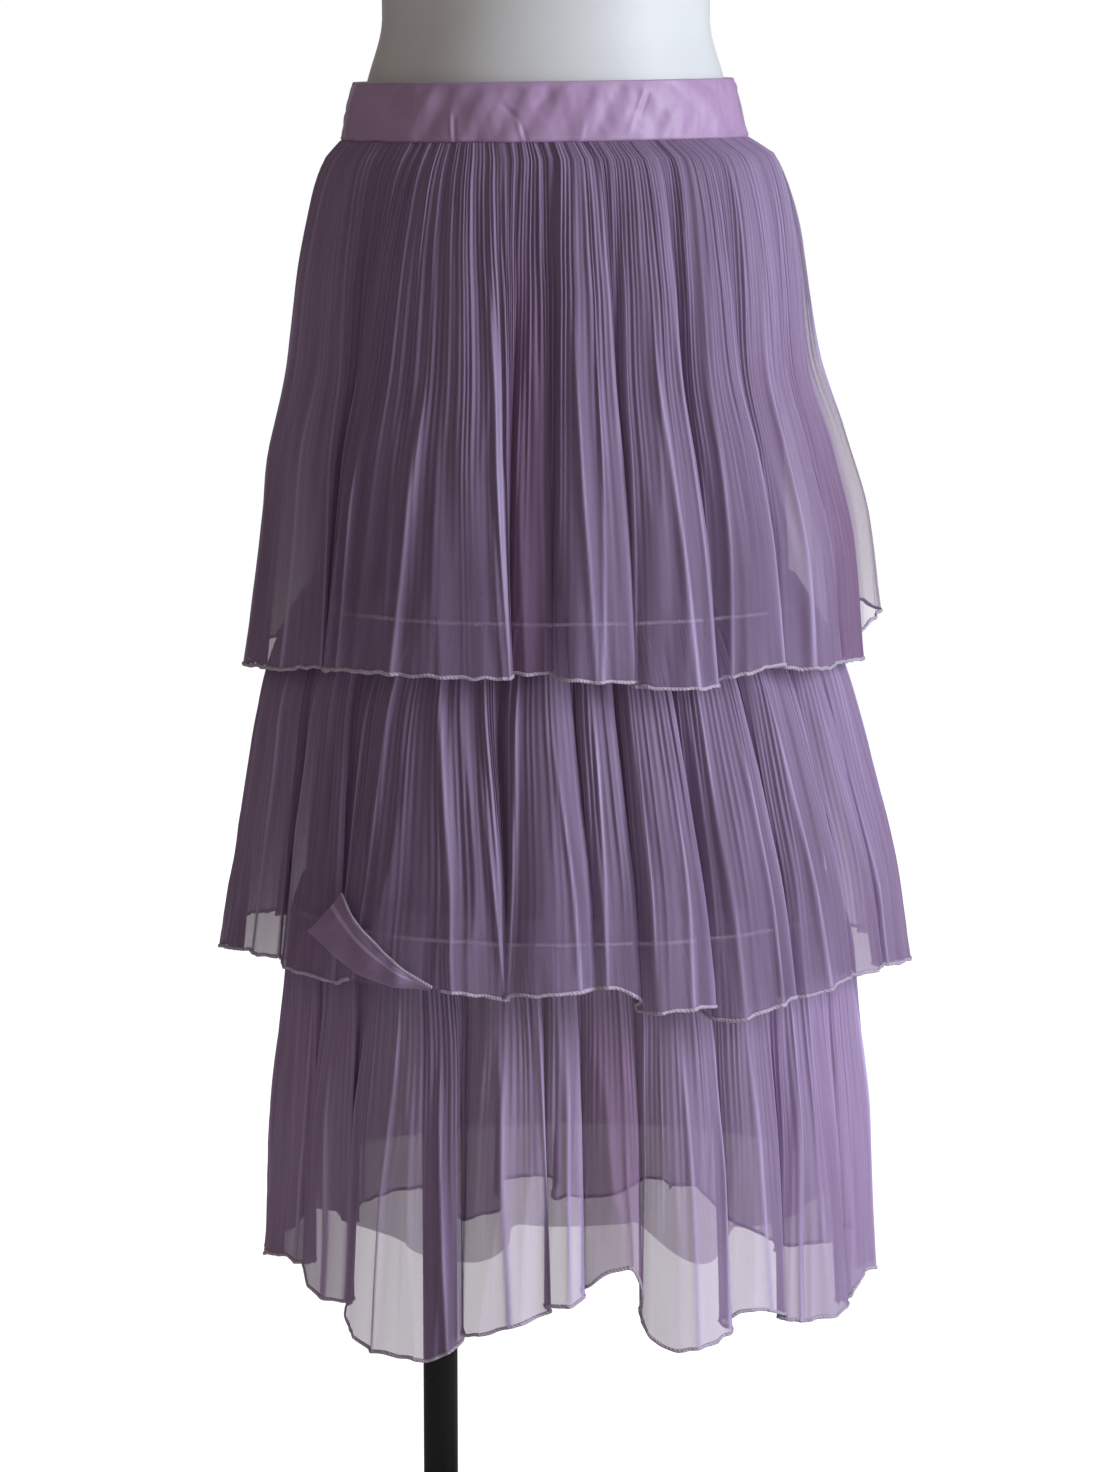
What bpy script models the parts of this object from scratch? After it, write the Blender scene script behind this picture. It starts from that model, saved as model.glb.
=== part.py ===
"""A three-tiered pleated mesh skirt on a limbless dress form with a pole stand.

Metres, +Z up, the floor at z = 0 and the origin under the form's middle. The front is -Y and the
wearer's right side is -X. Each layer of cloth is a tube through sections, which gets its folds, its
pleats and its wall, and is then cut in two at the side seams.
"""

import math
from collections import namedtuple

import bmesh
import bpy
from mathutils import Vector

# Heights above the floor
WAIST_TOP = 1.120
BAND_HEIGHT = 0.039
BAND_BOTTOM = WAIST_TOP - BAND_HEIGHT
SEAM_GAP = 0.0003
TIER_1_TOP = BAND_BOTTOM - SEAM_GAP
TIER_2_TOP = 0.777
TIER_3_TOP = 0.560

# Lengths of cloth from each top edge down
TIER_1_LENGTH = 0.354
TIER_2_LENGTH = 0.256
TIER_3_LENGTH = 0.244
UNDERSKIRT_LENGTH = 0.733

# Where the seams of tiers two and three and the lining's hem lie, as shares of the underskirt's length
TIER_2_SEAM = (TIER_1_TOP - TIER_2_TOP) / UNDERSKIRT_LENGTH
TIER_3_SEAM = (TIER_1_TOP - TIER_3_TOP) / UNDERSKIRT_LENGTH
LINING_HEM = 0.738

# Walls, and the clearances between layers
BAND_WALL = 0.003
TIER_WALL = 0.0012
UNDER_WALL = 0.001
SEAT_CLEAR = 0.0001
LINING_INSET = UNDER_WALL + 0.0009

# Columns all round each tube of cloth. A tier has one pleat on every two of them
PLEATS_A_TIER = 64
TIER_COLUMNS = 2 * PLEATS_A_TIER
UNDER_COLUMNS = 56
BAND_COLUMNS = 48

# A pleat's depth where it is full, its share at the top edge, and how fast it opens from there
PLEAT_DEPTH = 0.0026
PLEAT_AT_TOP = 0.12
PLEAT_OPENING = 4.0

# How the cloth crowds into the flanks of a fold, how square its crest is, and how late it opens
FOLD_CROWDING = 0.78
CREST_SQUARENESS = 0.55
TIER_1_GROWTH = 0.80
TIER_2_GROWTH = 0.65
TIER_3_GROWTH = 0.65

# How late a piece begins to hang towards its uneven hem
HEM_LATENESS = 2.0

# The waist lies a little higher on the wearer's left, and levels out by this height
WAIST_SLOPE = 0.012
LEVEL_HEIGHT = 0.90

# The elastic back of the waistband
ELASTIC_ROWS = 3
ELASTIC_GATHERS = 20
PUFF_DEPTH = 0.0016

# Dress form stand
POLE_X = -0.077
POLE_RADIUS = 0.0125
BASE_RADIUS = 0.165
BASE_HEIGHT = 0.012
BASE_BEVEL = 0.003
COLLAR_RADIUS = 0.024
COLLAR_HEIGHT = 0.030
SOCKET_RADIUS = 0.030
SOCKET_HEIGHT = 0.026
SOCKET_BEVEL = 0.002

# t is the share of the way down a piece, and shift moves the section towards +X
Section = namedtuple("Section", "t half_width half_depth shift")

BAND_SECTIONS = (
    Section(0.0, 0.1318, 0.1040, -0.002),
    Section(0.5, 0.1370, 0.1074, -0.0015),
    Section(1.0, 0.1404, 0.1098, -0.001),
)
TIER_1_SECTIONS = (
    Section(0.04, 0.1550, 0.1215, 0.0030),
    Section(0.12, 0.1630, 0.1320, 0.0030),
    Section(0.27, 0.1710, 0.1410, 0.0010),
    Section(0.43, 0.1760, 0.1480, 0.0000),
    Section(0.60, 0.1900, 0.1555, 0.0025),
    Section(0.78, 0.2010, 0.1630, 0.0070),
    Section(1.00, 0.2085, 0.1690, 0.0050),
)
TIER_2_SECTIONS = (
    Section(0.10, 0.1830, 0.1440, 0.0045),
    Section(0.27, 0.2000, 0.1570, 0.0050),
    Section(0.50, 0.2125, 0.1700, 0.0080),
    Section(0.80, 0.2275, 0.1830, 0.0115),
    Section(1.00, 0.2340, 0.1900, 0.0115),
)
TIER_3_SECTIONS = (
    Section(0.15, 0.1975, 0.1585, 0.0155),
    Section(0.35, 0.2010, 0.1640, 0.017),
    Section(0.65, 0.2085, 0.1710, 0.017),
    Section(1.00, 0.2130, 0.1780, 0.017),
)
UNDERSKIRT_SECTIONS = (
    Section(0.00, 0.1380, 0.1078, -0.001),
    Section(0.11, 0.1562, 0.1206, 0.000),
    Section(0.18, 0.1622, 0.1240, 0.001),
    Section(0.30, 0.1642, 0.1268, 0.003),
    Section(0.415, 0.1660, 0.1310, 0.006),
    Section(0.52, 0.1690, 0.1365, 0.010),
    Section(0.711, 0.1855, 0.1495, 0.014),
    Section(0.86, 0.1858, 0.1530, 0.0155),
    Section(1.00, 0.1875, 0.1565, 0.016),
)

# A fold spans width degrees about its centre, measured from the middle of the front towards +X,
# and its crest stands out proud at the hem
Fold = namedtuple("Fold", "centre width out")

TIER_1_FOLDS = (
    Fold(-69.0, 42.0, 0.010),
    Fold(-28.0, 40.0, 0.020),
    Fold(-4.0, 8.0, 0.003),
    Fold(7.0, 14.0, 0.017),
    Fold(22.0, 16.0, 0.020),
    Fold(38.0, 16.0, 0.012),
    Fold(57.0, 22.0, 0.012),
    Fold(79.0, 22.0, 0.007),
    Fold(101.0, 22.0, 0.027),
    Fold(121.0, 18.0, 0.014),
    Fold(142.5, 25.0, 0.018),
    Fold(160.0, 10.0, 0.004),
    Fold(176.0, 22.0, 0.020),
    Fold(194.0, 14.0, 0.015),
    Fold(215.0, 28.0, 0.019),
    Fold(234.0, 10.0, 0.005),
    Fold(254.5, 31.0, 0.011),
)
TIER_2_FOLDS = (
    Fold(-73.0, 34.0, 0.009),
    Fold(-49.0, 14.0, 0.008),
    Fold(-26.0, 32.0, 0.019),
    Fold(-3.0, 14.0, 0.016),
    Fold(8.0, 8.0, 0.010),
    Fold(18.0, 12.0, 0.018),
    Fold(32.0, 16.0, 0.018),
    Fold(48.0, 16.0, 0.012),
    Fold(63.0, 14.0, 0.009),
    Fold(80.0, 20.0, 0.012),
    Fold(100.0, 20.0, 0.012),
    Fold(118.0, 16.0, 0.013),
    Fold(133.0, 14.0, 0.014),
    Fold(144.0, 8.0, 0.004),
    Fold(159.0, 22.0, 0.018),
    Fold(176.0, 12.0, 0.016),
    Fold(187.0, 10.0, 0.004),
    Fold(202.0, 20.0, 0.018),
    Fold(221.0, 18.0, 0.016),
    Fold(236.0, 12.0, 0.008),
    Fold(256.0, 28.0, 0.010),
)
TIER_3_FOLDS = (
    Fold(-75.0, 30.0, 0.009),
    Fold(-53.5, 13.0, 0.011),
    Fold(-34.0, 26.0, 0.018),
    Fold(-13.0, 16.0, 0.014),
    Fold(-1.5, 7.0, 0.010),
    Fold(7.5, 11.0, 0.004),
    Fold(21.0, 16.0, 0.020),
    Fold(36.0, 14.0, 0.012),
    Fold(53.0, 20.0, 0.013),
    Fold(76.5, 27.0, 0.010),
    Fold(102.0, 24.0, 0.011),
    Fold(123.0, 18.0, 0.013),
    Fold(142.0, 20.0, 0.015),
    Fold(155.0, 6.0, 0.003),
    Fold(170.0, 24.0, 0.017),
    Fold(188.0, 12.0, 0.013),
    Fold(198.0, 8.0, 0.003),
    Fold(216.0, 28.0, 0.018),
    Fold(238.0, 16.0, 0.012),
    Fold(258.0, 24.0, 0.010),
)

# A hem hangs drop below its piece's length at these angles. It ends as it starts, at the wearer's right
HemPoint = namedtuple("HemPoint", "degrees drop")

TIER_1_HEM = (
    HemPoint(-90.0, 0.014),
    HemPoint(-76.0, 0.009),
    HemPoint(-64.0, 0.004),
    HemPoint(-56.0, -0.001),
    HemPoint(-48.0, 0.002),
    HemPoint(-32.0, -0.004),
    HemPoint(-16.0, -0.003),
    HemPoint(-4.0, -0.005),
    HemPoint(8.0, -0.001),
    HemPoint(16.0, 0.003),
    HemPoint(30.0, 0.006),
    HemPoint(40.0, -0.004),
    HemPoint(48.0, -0.002),
    HemPoint(60.0, 0.003),
    HemPoint(74.0, 0.004),
    HemPoint(88.0, 0.009),
    HemPoint(96.0, -0.016),
    HemPoint(104.0, -0.024),
    HemPoint(112.0, -0.008),
    HemPoint(124.0, 0.004),
    HemPoint(142.0, 0.002),
    HemPoint(160.0, -0.002),
    HemPoint(178.0, 0.004),
    HemPoint(196.0, 0.008),
    HemPoint(216.0, 0.002),
    HemPoint(236.0, -0.002),
    HemPoint(256.0, 0.006),
    HemPoint(270.0, 0.014),
)
TIER_2_HEM = (
    HemPoint(-90.0, 0.014),
    HemPoint(-84.0, 0.010),
    HemPoint(-76.0, 0.003),
    HemPoint(-66.0, -0.004),
    HemPoint(-58.0, -0.003),
    HemPoint(-50.0, 0.001),
    HemPoint(-40.0, 0.008),
    HemPoint(-32.0, 0.000),
    HemPoint(-24.0, -0.001),
    HemPoint(-12.0, 0.007),
    HemPoint(-4.0, 0.001),
    HemPoint(8.0, -0.002),
    HemPoint(13.0, 0.015),
    HemPoint(20.0, 0.013),
    HemPoint(28.0, 0.024),
    HemPoint(36.0, 0.015),
    HemPoint(41.0, 0.017),
    HemPoint(51.0, 0.009),
    HemPoint(66.0, 0.010),
    HemPoint(80.0, 0.015),
    HemPoint(90.0, 0.024),
    HemPoint(102.0, 0.010),
    HemPoint(118.0, 0.020),
    HemPoint(134.0, 0.008),
    HemPoint(150.0, 0.004),
    HemPoint(162.0, 0.018),
    HemPoint(180.0, 0.008),
    HemPoint(200.0, 0.016),
    HemPoint(214.0, 0.006),
    HemPoint(232.0, 0.012),
    HemPoint(250.0, 0.004),
    HemPoint(270.0, 0.014),
)
TIER_3_HEM = (
    HemPoint(-90.0, 0.034),
    HemPoint(-80.0, 0.028),
    HemPoint(-70.0, 0.015),
    HemPoint(-58.0, 0.014),
    HemPoint(-52.0, 0.032),
    HemPoint(-42.0, 0.034),
    HemPoint(-36.0, 0.058),
    HemPoint(-30.0, 0.059),
    HemPoint(-23.0, 0.042),
    HemPoint(-17.0, 0.040),
    HemPoint(-10.0, 0.027),
    HemPoint(0.0, 0.014),
    HemPoint(4.0, 0.006),
    HemPoint(9.0, -0.008),
    HemPoint(13.0, 0.026),
    HemPoint(20.0, 0.048),
    HemPoint(27.0, 0.041),
    HemPoint(35.0, 0.029),
    HemPoint(42.0, 0.042),
    HemPoint(54.0, 0.046),
    HemPoint(67.0, 0.047),
    HemPoint(73.0, 0.032),
    HemPoint(82.0, 0.038),
    HemPoint(90.0, 0.046),
    HemPoint(104.0, 0.034),
    HemPoint(118.0, 0.050),
    HemPoint(130.0, 0.068),
    HemPoint(143.0, 0.062),
    HemPoint(150.0, 0.031),
    HemPoint(166.0, 0.031),
    HemPoint(172.0, 0.048),
    HemPoint(177.0, 0.048),
    HemPoint(182.0, 0.031),
    HemPoint(190.0, 0.031),
    HemPoint(197.0, 0.056),
    HemPoint(204.0, 0.058),
    HemPoint(213.0, 0.034),
    HemPoint(228.0, 0.044),
    HemPoint(244.0, 0.024),
    HemPoint(256.0, 0.036),
    HemPoint(270.0, 0.034),
)
UNDERSKIRT_HEM = (
    HemPoint(-90.0, 0.010),
    HemPoint(-50.0, 0.018),
    HemPoint(-24.0, 0.030),
    HemPoint(-14.0, 0.010),
    HemPoint(-6.0, 0.001),
    HemPoint(17.0, 0.001),
    HemPoint(28.0, 0.034),
    HemPoint(34.0, 0.012),
    HemPoint(48.0, 0.014),
    HemPoint(90.0, 0.008),
    HemPoint(180.0, 0.012),
    HemPoint(270.0, 0.010),
)
LEVEL_HEM = (
    HemPoint(-90.0, 0.000),
    HemPoint(270.0, 0.000),
)

# The underskirt's folds begin below the third tier's seam
UNDERSKIRT_FOLDS = 14
UNDERSKIRT_FOLD_OUT = 0.003
NO_FOLDS = ()

# Rows of each piece, as shares of its length. A first row above the top edge is cut off at that edge
TIER_1_ROWS = (-0.012, 0.003, 0.09, 0.32, 0.66, 1.0)
TIER_2_ROWS = (-0.015, 0.003, 0.22, 0.58, 1.0)
TIER_3_ROWS = (-0.015, 0.003, 0.30, 0.66, 1.0)
UNDERSKIRT_ROWS = (-0.01, 0.001, 0.11, 0.22, TIER_2_SEAM, TIER_3_SEAM, 1.0)
LINING_ROWS = (-0.01, 0.001, 0.11, 0.22, TIER_2_SEAM, LINING_HEM)
BAND_ROWS = (-0.2, 0.5, 1.2)

# The corner of the second tier's hem that is turned up, between two of its front columns. At each angle
# it lies between the shares fold_t and edge_t of the tier's length
TURN_UP_FIRST_COLUMN = 15
TURN_UP_LAST_COLUMN = 24
TURN_UP_ROWS = 3
TURN_UP_OUT = 0.0020
TURN_UP_LIFT = 0.005
TURN_UP_WALL = 0.0012
TurnUp = namedtuple("TurnUp", "degrees fold_t edge_t")
TURN_UP_SECTIONS = (
    TurnUp(-47.9, 0.895, 0.865),
    TurnUp(-43.0, 0.915, 0.815),
    TurnUp(-38.4, 0.940, 0.770),
    TurnUp(-32.8, 0.968, 0.833),
    TurnUp(-28.5, 0.987, 0.902),
    TurnUp(-25.8, 0.996, 0.950),
    TurnUp(-22.5, 0.998, 0.980),
)

# The dress form: front and back are how far its surface lies before and behind the axis
FormSection = namedtuple("FormSection", "z half_width front back")

FORM_SECTIONS = (
    FormSection(0.786, 0.128, 0.088, 0.090),
    FormSection(0.797, 0.142, 0.100, 0.102),
    FormSection(0.830, 0.152, 0.109, 0.112),
    FormSection(0.880, 0.1565, 0.114, 0.118),
    FormSection(0.930, 0.1570, 0.1145, 0.1182),
    FormSection(0.975, 0.1535, 0.112, 0.1155),
    FormSection(1.020, 0.1465, 0.1085, 0.1105),
    FormSection(1.0645, 0.1378, 0.1056, 0.1056),
    FormSection(1.0805, 0.1337, 0.1037, 0.1037),
    FormSection(1.120, 0.1235, 0.098, 0.096),
    FormSection(1.163, 0.1130, 0.091, 0.084),
    FormSection(1.215, 0.1150, 0.096, 0.084),
    FormSection(1.275, 0.1270, 0.108, 0.092),
    FormSection(1.330, 0.1360, 0.126, 0.100),
    FormSection(1.368, 0.1405, 0.131, 0.104),
    FormSection(1.410, 0.1450, 0.116, 0.107),
    FormSection(1.450, 0.1560, 0.096, 0.102),
    FormSection(1.482, 0.1500, 0.080, 0.088),
    FormSection(1.504, 0.1180, 0.068, 0.072),
    FormSection(1.518, 0.0800, 0.061, 0.061),
    FormSection(1.534, 0.0600, 0.056, 0.056),
    FormSection(1.590, 0.0535, 0.053, 0.053),
)
FORM_COLUMNS = 36


def clear_scene():
    for obj in list(bpy.data.objects):
        bpy.data.objects.remove(obj, do_unlink=True)


def material(name, colour, roughness, metallic=0.0):
    made = bpy.data.materials.new(name)
    made.use_nodes = True
    shader = made.node_tree.nodes["Principled BSDF"]
    shader.inputs["Base Color"].default_value = (*colour, 1.0)
    shader.inputs["Roughness"].default_value = roughness
    shader.inputs["Metallic"].default_value = metallic
    return made


def slopes_of(xs, ys):
    """Slopes that keep a curve through the points from overshooting."""
    steps = [(ys[i + 1] - ys[i]) / (xs[i + 1] - xs[i]) for i in range(len(xs) - 1)]
    slopes = [steps[0]]
    for before, after in zip(steps, steps[1:]):
        both_ways = before * after > 0
        slopes.append(2 * before * after / (before + after) if both_ways else 0.0)
    slopes.append(steps[-1])
    return slopes


def curve_value(xs, ys, x):
    """The height at x of a smooth curve through the points."""
    x = min(max(x, xs[0]), xs[-1])
    slopes = slopes_of(xs, ys)
    i = max(k for k in range(len(xs) - 1) if xs[k] <= x)
    span = xs[i + 1] - xs[i]
    s = (x - xs[i]) / span
    start = (1 + 2 * s) * (1 - s) ** 2 * ys[i] + s * (1 - s) ** 2 * span * slopes[i]
    end = s * s * (3 - 2 * s) * ys[i + 1] + s * s * (s - 1) * span * slopes[i + 1]
    return start + end


def section_at(rows, t):
    """(half width, half depth, shift) of a piece at t."""
    ts = [row.t for row in rows]
    return (
        curve_value(ts, [row.half_width for row in rows], t),
        curve_value(ts, [row.half_depth for row in rows], t),
        curve_value(ts, [row.shift for row in rows], t),
    )


def fold_at(folds, degrees):
    """How far a fold turns the cloth about the axis, in degrees, and how far out it stands, at an angle."""
    for fold in folds:
        x = (degrees - fold.centre) / (fold.width / 2)
        if abs(x) <= 1.0:
            crest = (0.5 + 0.5 * math.cos(math.pi * x)) ** CREST_SQUARENESS
            turn = fold.width / 2 * FOLD_CROWDING * math.sin(math.pi * x) / math.pi
            return turn, fold.out * crest
    return 0.0, 0.0


def slope_waist(point):
    """Lifts the wearer's left side of the waist and lowers the right, less and less down to level."""
    share = min(max((point.z - LEVEL_HEIGHT) / (WAIST_TOP - LEVEL_HEIGHT), 0.0), 1.0)
    point.z += WAIST_SLOPE * point.x * share
    return point


# growth is how late the folds open between fold_start and the hem, and inset moves the piece inwards
Piece = namedtuple("Piece", "sections folds hem top length growth pleat_depth fold_start inset")


def cloth_point(piece, degrees, t, pleat):
    """A point of the outer face, which pleat moves out by a share of the pleats' depth, -0.5 to 0.5."""
    half_width, half_depth, shift = section_at(piece.sections, t)
    turn, out = fold_at(piece.folds, degrees)
    drop = curve_value([p.degrees for p in piece.hem], [p.drop for p in piece.hem], degrees)
    grown = max(0.0, (t - piece.fold_start) / (1.0 - piece.fold_start)) ** piece.growth
    opened = min(1.0, PLEAT_AT_TOP + PLEAT_OPENING * max(t, 0.0))
    angle = math.radians(degrees + turn * grown)
    along_x, along_y = math.sin(angle), -math.cos(angle)
    normal = Vector((half_depth * along_x, half_width * along_y, 0.0)).normalized()
    place = Vector((half_width * along_x, half_depth * along_y, 0.0))
    place += normal * (out * grown + pleat * piece.pleat_depth * opened - piece.inset)
    place.x += shift
    place.z = piece.top - t * piece.length - max(t, 0.0) ** HEM_LATENESS * drop
    return place


def column_angle(column, columns):
    """The angle of one of a tube's columns, which start at the wearer's right side."""
    return -90.0 + 360.0 * column / columns


def cloth_sheet(columns, ts, place):
    """A sheet of quads. place gives its points from a column's number and a row's t."""
    sheet = bmesh.new()
    rows = len(ts) - 1
    bmesh.ops.create_grid(sheet, x_segments=columns, y_segments=rows, size=0.5)
    for vert in sheet.verts:
        column = round((vert.co.x + 0.5) * columns)
        row = round((0.5 - vert.co.y) * rows)
        vert.co = place(column, ts[row])
    return sheet


def cloth_tube(piece, columns, ts, wall):
    """A closed tube of cloth with its wall on the inside, and the vertices of its outer face."""

    def place(column, t):
        pleat = 0.5 if column % 2 else -0.5
        return cloth_point(piece, column_angle(column, columns), t, pleat)

    tube = cloth_sheet(columns, ts, place)
    bmesh.ops.remove_doubles(tube, verts=tube.verts, dist=SEAM_GAP / 10)
    outer = list(tube.verts)
    bmesh.ops.recalc_face_normals(tube, faces=tube.faces)
    bmesh.ops.solidify(tube, geom=tube.faces, thickness=wall)
    return tube, outer


def cut_off(shell, point, normal):
    """Cuts off what lies beyond a plane, and closes the cut."""
    everything = shell.verts[:] + shell.edges[:] + shell.faces[:]
    cut = bmesh.ops.bisect_plane(
        shell, geom=everything, dist=1e-7, plane_co=point, plane_no=normal, clear_outer=True
    )
    rim = [part for part in cut["geom_cut"] if isinstance(part, bmesh.types.BMEdge)]
    bmesh.ops.holes_fill(shell, edges=rim, sides=0)


def add_half(name, tube, side, top, finish, home, bottom=None):
    """The front half (side -1) or back half (side 1) of a tube, cut level at its top edge."""
    half = tube.copy()
    cut_off(half, (0.0, side * SEAM_GAP / 2, 0.0), (0.0, -side, 0.0))
    cut_off(half, (0.0, 0.0, top), (0.0, 0.0, 1.0))
    if bottom is not None:
        cut_off(half, (0.0, 0.0, bottom), (0.0, 0.0, -1.0))
    for vert in half.verts:
        vert.co = slope_waist(vert.co)
    return add_object(name, half, finish, home)


def add_object(name, shape, finish, home):
    """Makes an object of a bmesh and frees it."""
    bmesh.ops.recalc_face_normals(shape, faces=shape.faces)
    mesh = bpy.data.meshes.new(name)
    shape.to_mesh(mesh)
    shape.free()
    mesh.materials.append(finish)
    obj = bpy.data.objects.new(name, mesh)
    home.objects.link(obj)
    return obj


def add_halves(name, piece, columns, ts, wall, finish, home):
    """The front and back of a tube of cloth, which meet at the side seams."""
    tube, outer = cloth_tube(piece, columns, ts, wall)
    add_half(f"{name}_front", tube, -1, piece.top, finish, home)
    add_half(f"{name}_back", tube, 1, piece.top, finish, home)
    tube.free()


def seat_on(piece, top, wall):
    """The section of a pleated tube whose inside just clears another piece at the height top."""
    half_width, half_depth, shift = section_at(piece.sections, (piece.top - top) / piece.length)
    out = SEAT_CLEAR + wall + PLEAT_DEPTH * PLEAT_AT_TOP / 2
    return Section(0.0, half_width + out, half_depth + out, shift)


def even_folds(count, out):
    """Shallow equal folds all round."""
    width = 360.0 / count
    return tuple(Fold(-90.0 + width * (i + 0.5), width, out) for i in range(count))


def underskirt_piece():
    """The plain mesh tube that carries tiers two and three."""
    folds = even_folds(UNDERSKIRT_FOLDS, UNDERSKIRT_FOLD_OUT)
    sections, top, length = UNDERSKIRT_SECTIONS, TIER_1_TOP, UNDERSKIRT_LENGTH
    return Piece(sections, folds, UNDERSKIRT_HEM, top, length, 1.0, 0.0, TIER_3_SEAM, 0.0)


def tier_piece(sections, folds, hem, top, length, growth):
    """A pleated tube seated round the underskirt at its top edge."""
    seated = (seat_on(underskirt_piece(), top, TIER_WALL), *sections)
    return Piece(seated, folds, hem, top, length, growth, PLEAT_DEPTH, 0.0, 0.0)


def add_under_layers(finish_mesh, finish_lining, home):
    """The underskirt, and the short lining just inside it."""
    under = underskirt_piece()
    add_halves("underskirt", under, UNDER_COLUMNS, UNDERSKIRT_ROWS, UNDER_WALL, finish_mesh, home)
    lining = under._replace(folds=NO_FOLDS, hem=LEVEL_HEM, inset=LINING_INSET)
    add_halves("lining", lining, UNDER_COLUMNS, LINING_ROWS, UNDER_WALL, finish_lining, home)


def add_waistband(finish, home):
    """A plain front half, and an elastic back half with gathers puffed out between its rows of elastic."""
    band = Piece(BAND_SECTIONS, NO_FOLDS, LEVEL_HEM, WAIST_TOP, BAND_HEIGHT, 1.0, 0.0, 0.0, 0.0)
    tube, outer = cloth_tube(band, BAND_COLUMNS, BAND_ROWS, BAND_WALL)
    add_half("waistband_front", tube, -1, WAIST_TOP, finish, home, BAND_BOTTOM)
    tube.free()

    columns = 4 * ELASTIC_GATHERS
    rows = 2 * (ELASTIC_ROWS + 1)
    ts = [BAND_ROWS[0] + (BAND_ROWS[-1] - BAND_ROWS[0]) * r / rows for r in range(rows + 1)]
    tube, outer = cloth_tube(band, columns, ts, BAND_WALL)
    row_height = (ts[1] - ts[0]) * BAND_HEIGHT
    top_row = WAIST_TOP - ts[0] * BAND_HEIGHT
    squash = BAND_SECTIONS[0].half_width / BAND_SECTIONS[0].half_depth
    for vert in outer:
        row = round((top_row - vert.co.z) / row_height)
        angle = math.degrees(math.atan2(vert.co.x, -vert.co.y * squash))
        column = round((angle + 90.0) / 360.0 * columns)
        if row % 2 and column % 2:
            vert.co += Vector((vert.co.x, vert.co.y, 0.0)).normalized() * PUFF_DEPTH
    add_half("waistband_back", tube, 1, WAIST_TOP, finish, home, BAND_BOTTOM)
    tube.free()


def add_turn_up(piece, finish, home):
    """The corner of the second tier's hem turned up onto its front, made from the tier's points."""
    count = TURN_UP_LAST_COLUMN - TURN_UP_FIRST_COLUMN
    angles = [row.degrees for row in TURN_UP_SECTIONS]
    fold_ts = [row.fold_t for row in TURN_UP_SECTIONS]
    edge_ts = [row.edge_t for row in TURN_UP_SECTIONS]

    def place(column, q):
        p = column / count
        degrees = column_angle(TURN_UP_FIRST_COLUMN + column, TIER_COLUMNS)
        fold_t = curve_value(angles, fold_ts, degrees)
        edge_t = curve_value(angles, edge_ts, degrees)
        out = TURN_UP_OUT + TURN_UP_LIFT * q * (1 - p)
        return cloth_point(piece, degrees, fold_t + (edge_t - fold_t) * q, out / piece.pleat_depth)

    qs = [row / TURN_UP_ROWS for row in range(TURN_UP_ROWS + 1)]
    sheet = cloth_sheet(count, qs, place)
    bmesh.ops.recalc_face_normals(sheet, faces=sheet.faces)
    bmesh.ops.solidify(sheet, geom=sheet.faces, thickness=TURN_UP_WALL)
    return add_object("tier_2_turned_hem", sheet, finish, home)


def form_point(z, degrees):
    """A point of the dress form's smooth surface."""
    zs = [row.z for row in FORM_SECTIONS]
    half_width = curve_value(zs, [row.half_width for row in FORM_SECTIONS], z)
    front = curve_value(zs, [row.front for row in FORM_SECTIONS], z)
    back = curve_value(zs, [row.back for row in FORM_SECTIONS], z)
    angle = math.radians(degrees)
    depth = front if math.cos(angle) > 0 else back
    return Vector((half_width * math.sin(angle), -depth * math.cos(angle), z))


def add_form(finish, home):
    """The limbless torso, closed at the neck and below the hips."""
    zs = [row.z for row in reversed(FORM_SECTIONS)]

    def place(column, z):
        return form_point(z, column_angle(column, FORM_COLUMNS))

    torso = cloth_sheet(FORM_COLUMNS, zs, place)
    bmesh.ops.remove_doubles(torso, verts=torso.verts, dist=SEAM_GAP / 10)
    open_rims = [edge for edge in torso.edges if edge.is_boundary]
    bmesh.ops.holes_fill(torso, edges=open_rims, sides=0)
    obj = add_object("dress_form", torso, finish, home)
    obj.data.shade_smooth()
    return obj


def add_cylinder(name, radius, low, high, x, finish, home, sides=32, bevel=0.0):
    """An upright round piece from low to high, with its rims eased by bevel."""
    shape = bmesh.new()
    bmesh.ops.create_cone(
        shape, cap_ends=True, segments=sides, radius1=radius, radius2=radius, depth=high - low
    )
    obj = add_object(name, shape, finish, home)
    obj.location = (x, 0.0, (low + high) / 2)
    if bevel:
        eased = obj.modifiers.new("eased rims", "BEVEL")
        eased.width = bevel
        eased.segments = 2
    return obj


def add_stand(metal, home, cutters):
    """A flat round base, the pole off its centre, a collar at its foot and a socket under the form."""
    form_bottom = FORM_SECTIONS[0].z
    add_cylinder("stand_base", BASE_RADIUS, 0.0, BASE_HEIGHT, 0.0, metal, home, 48, BASE_BEVEL)
    foot = BASE_HEIGHT + SEAM_GAP
    socket_high = form_bottom - SEAM_GAP
    socket_low = socket_high - SOCKET_HEIGHT
    add_cylinder("stand_pole", POLE_RADIUS, foot, socket_low - SEAM_GAP, POLE_X, metal, home, 24)
    add_cylinder("pole_socket", SOCKET_RADIUS, socket_low, socket_high, POLE_X, metal, home, 24, SOCKET_BEVEL)

    collar = add_cylinder("pole_collar", COLLAR_RADIUS, foot, foot + COLLAR_HEIGHT, POLE_X, metal, home, 24)
    bore = POLE_RADIUS + SEAM_GAP
    hole = add_cylinder("collar_hole", bore, 0.0, 2 * (foot + COLLAR_HEIGHT), POLE_X, metal, cutters, 24)
    hole.hide_render = True
    hole.display_type = "WIRE"
    cut = collar.modifiers.new("hole", "BOOLEAN")
    cut.operation = "DIFFERENCE"
    cut.object = hole


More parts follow.
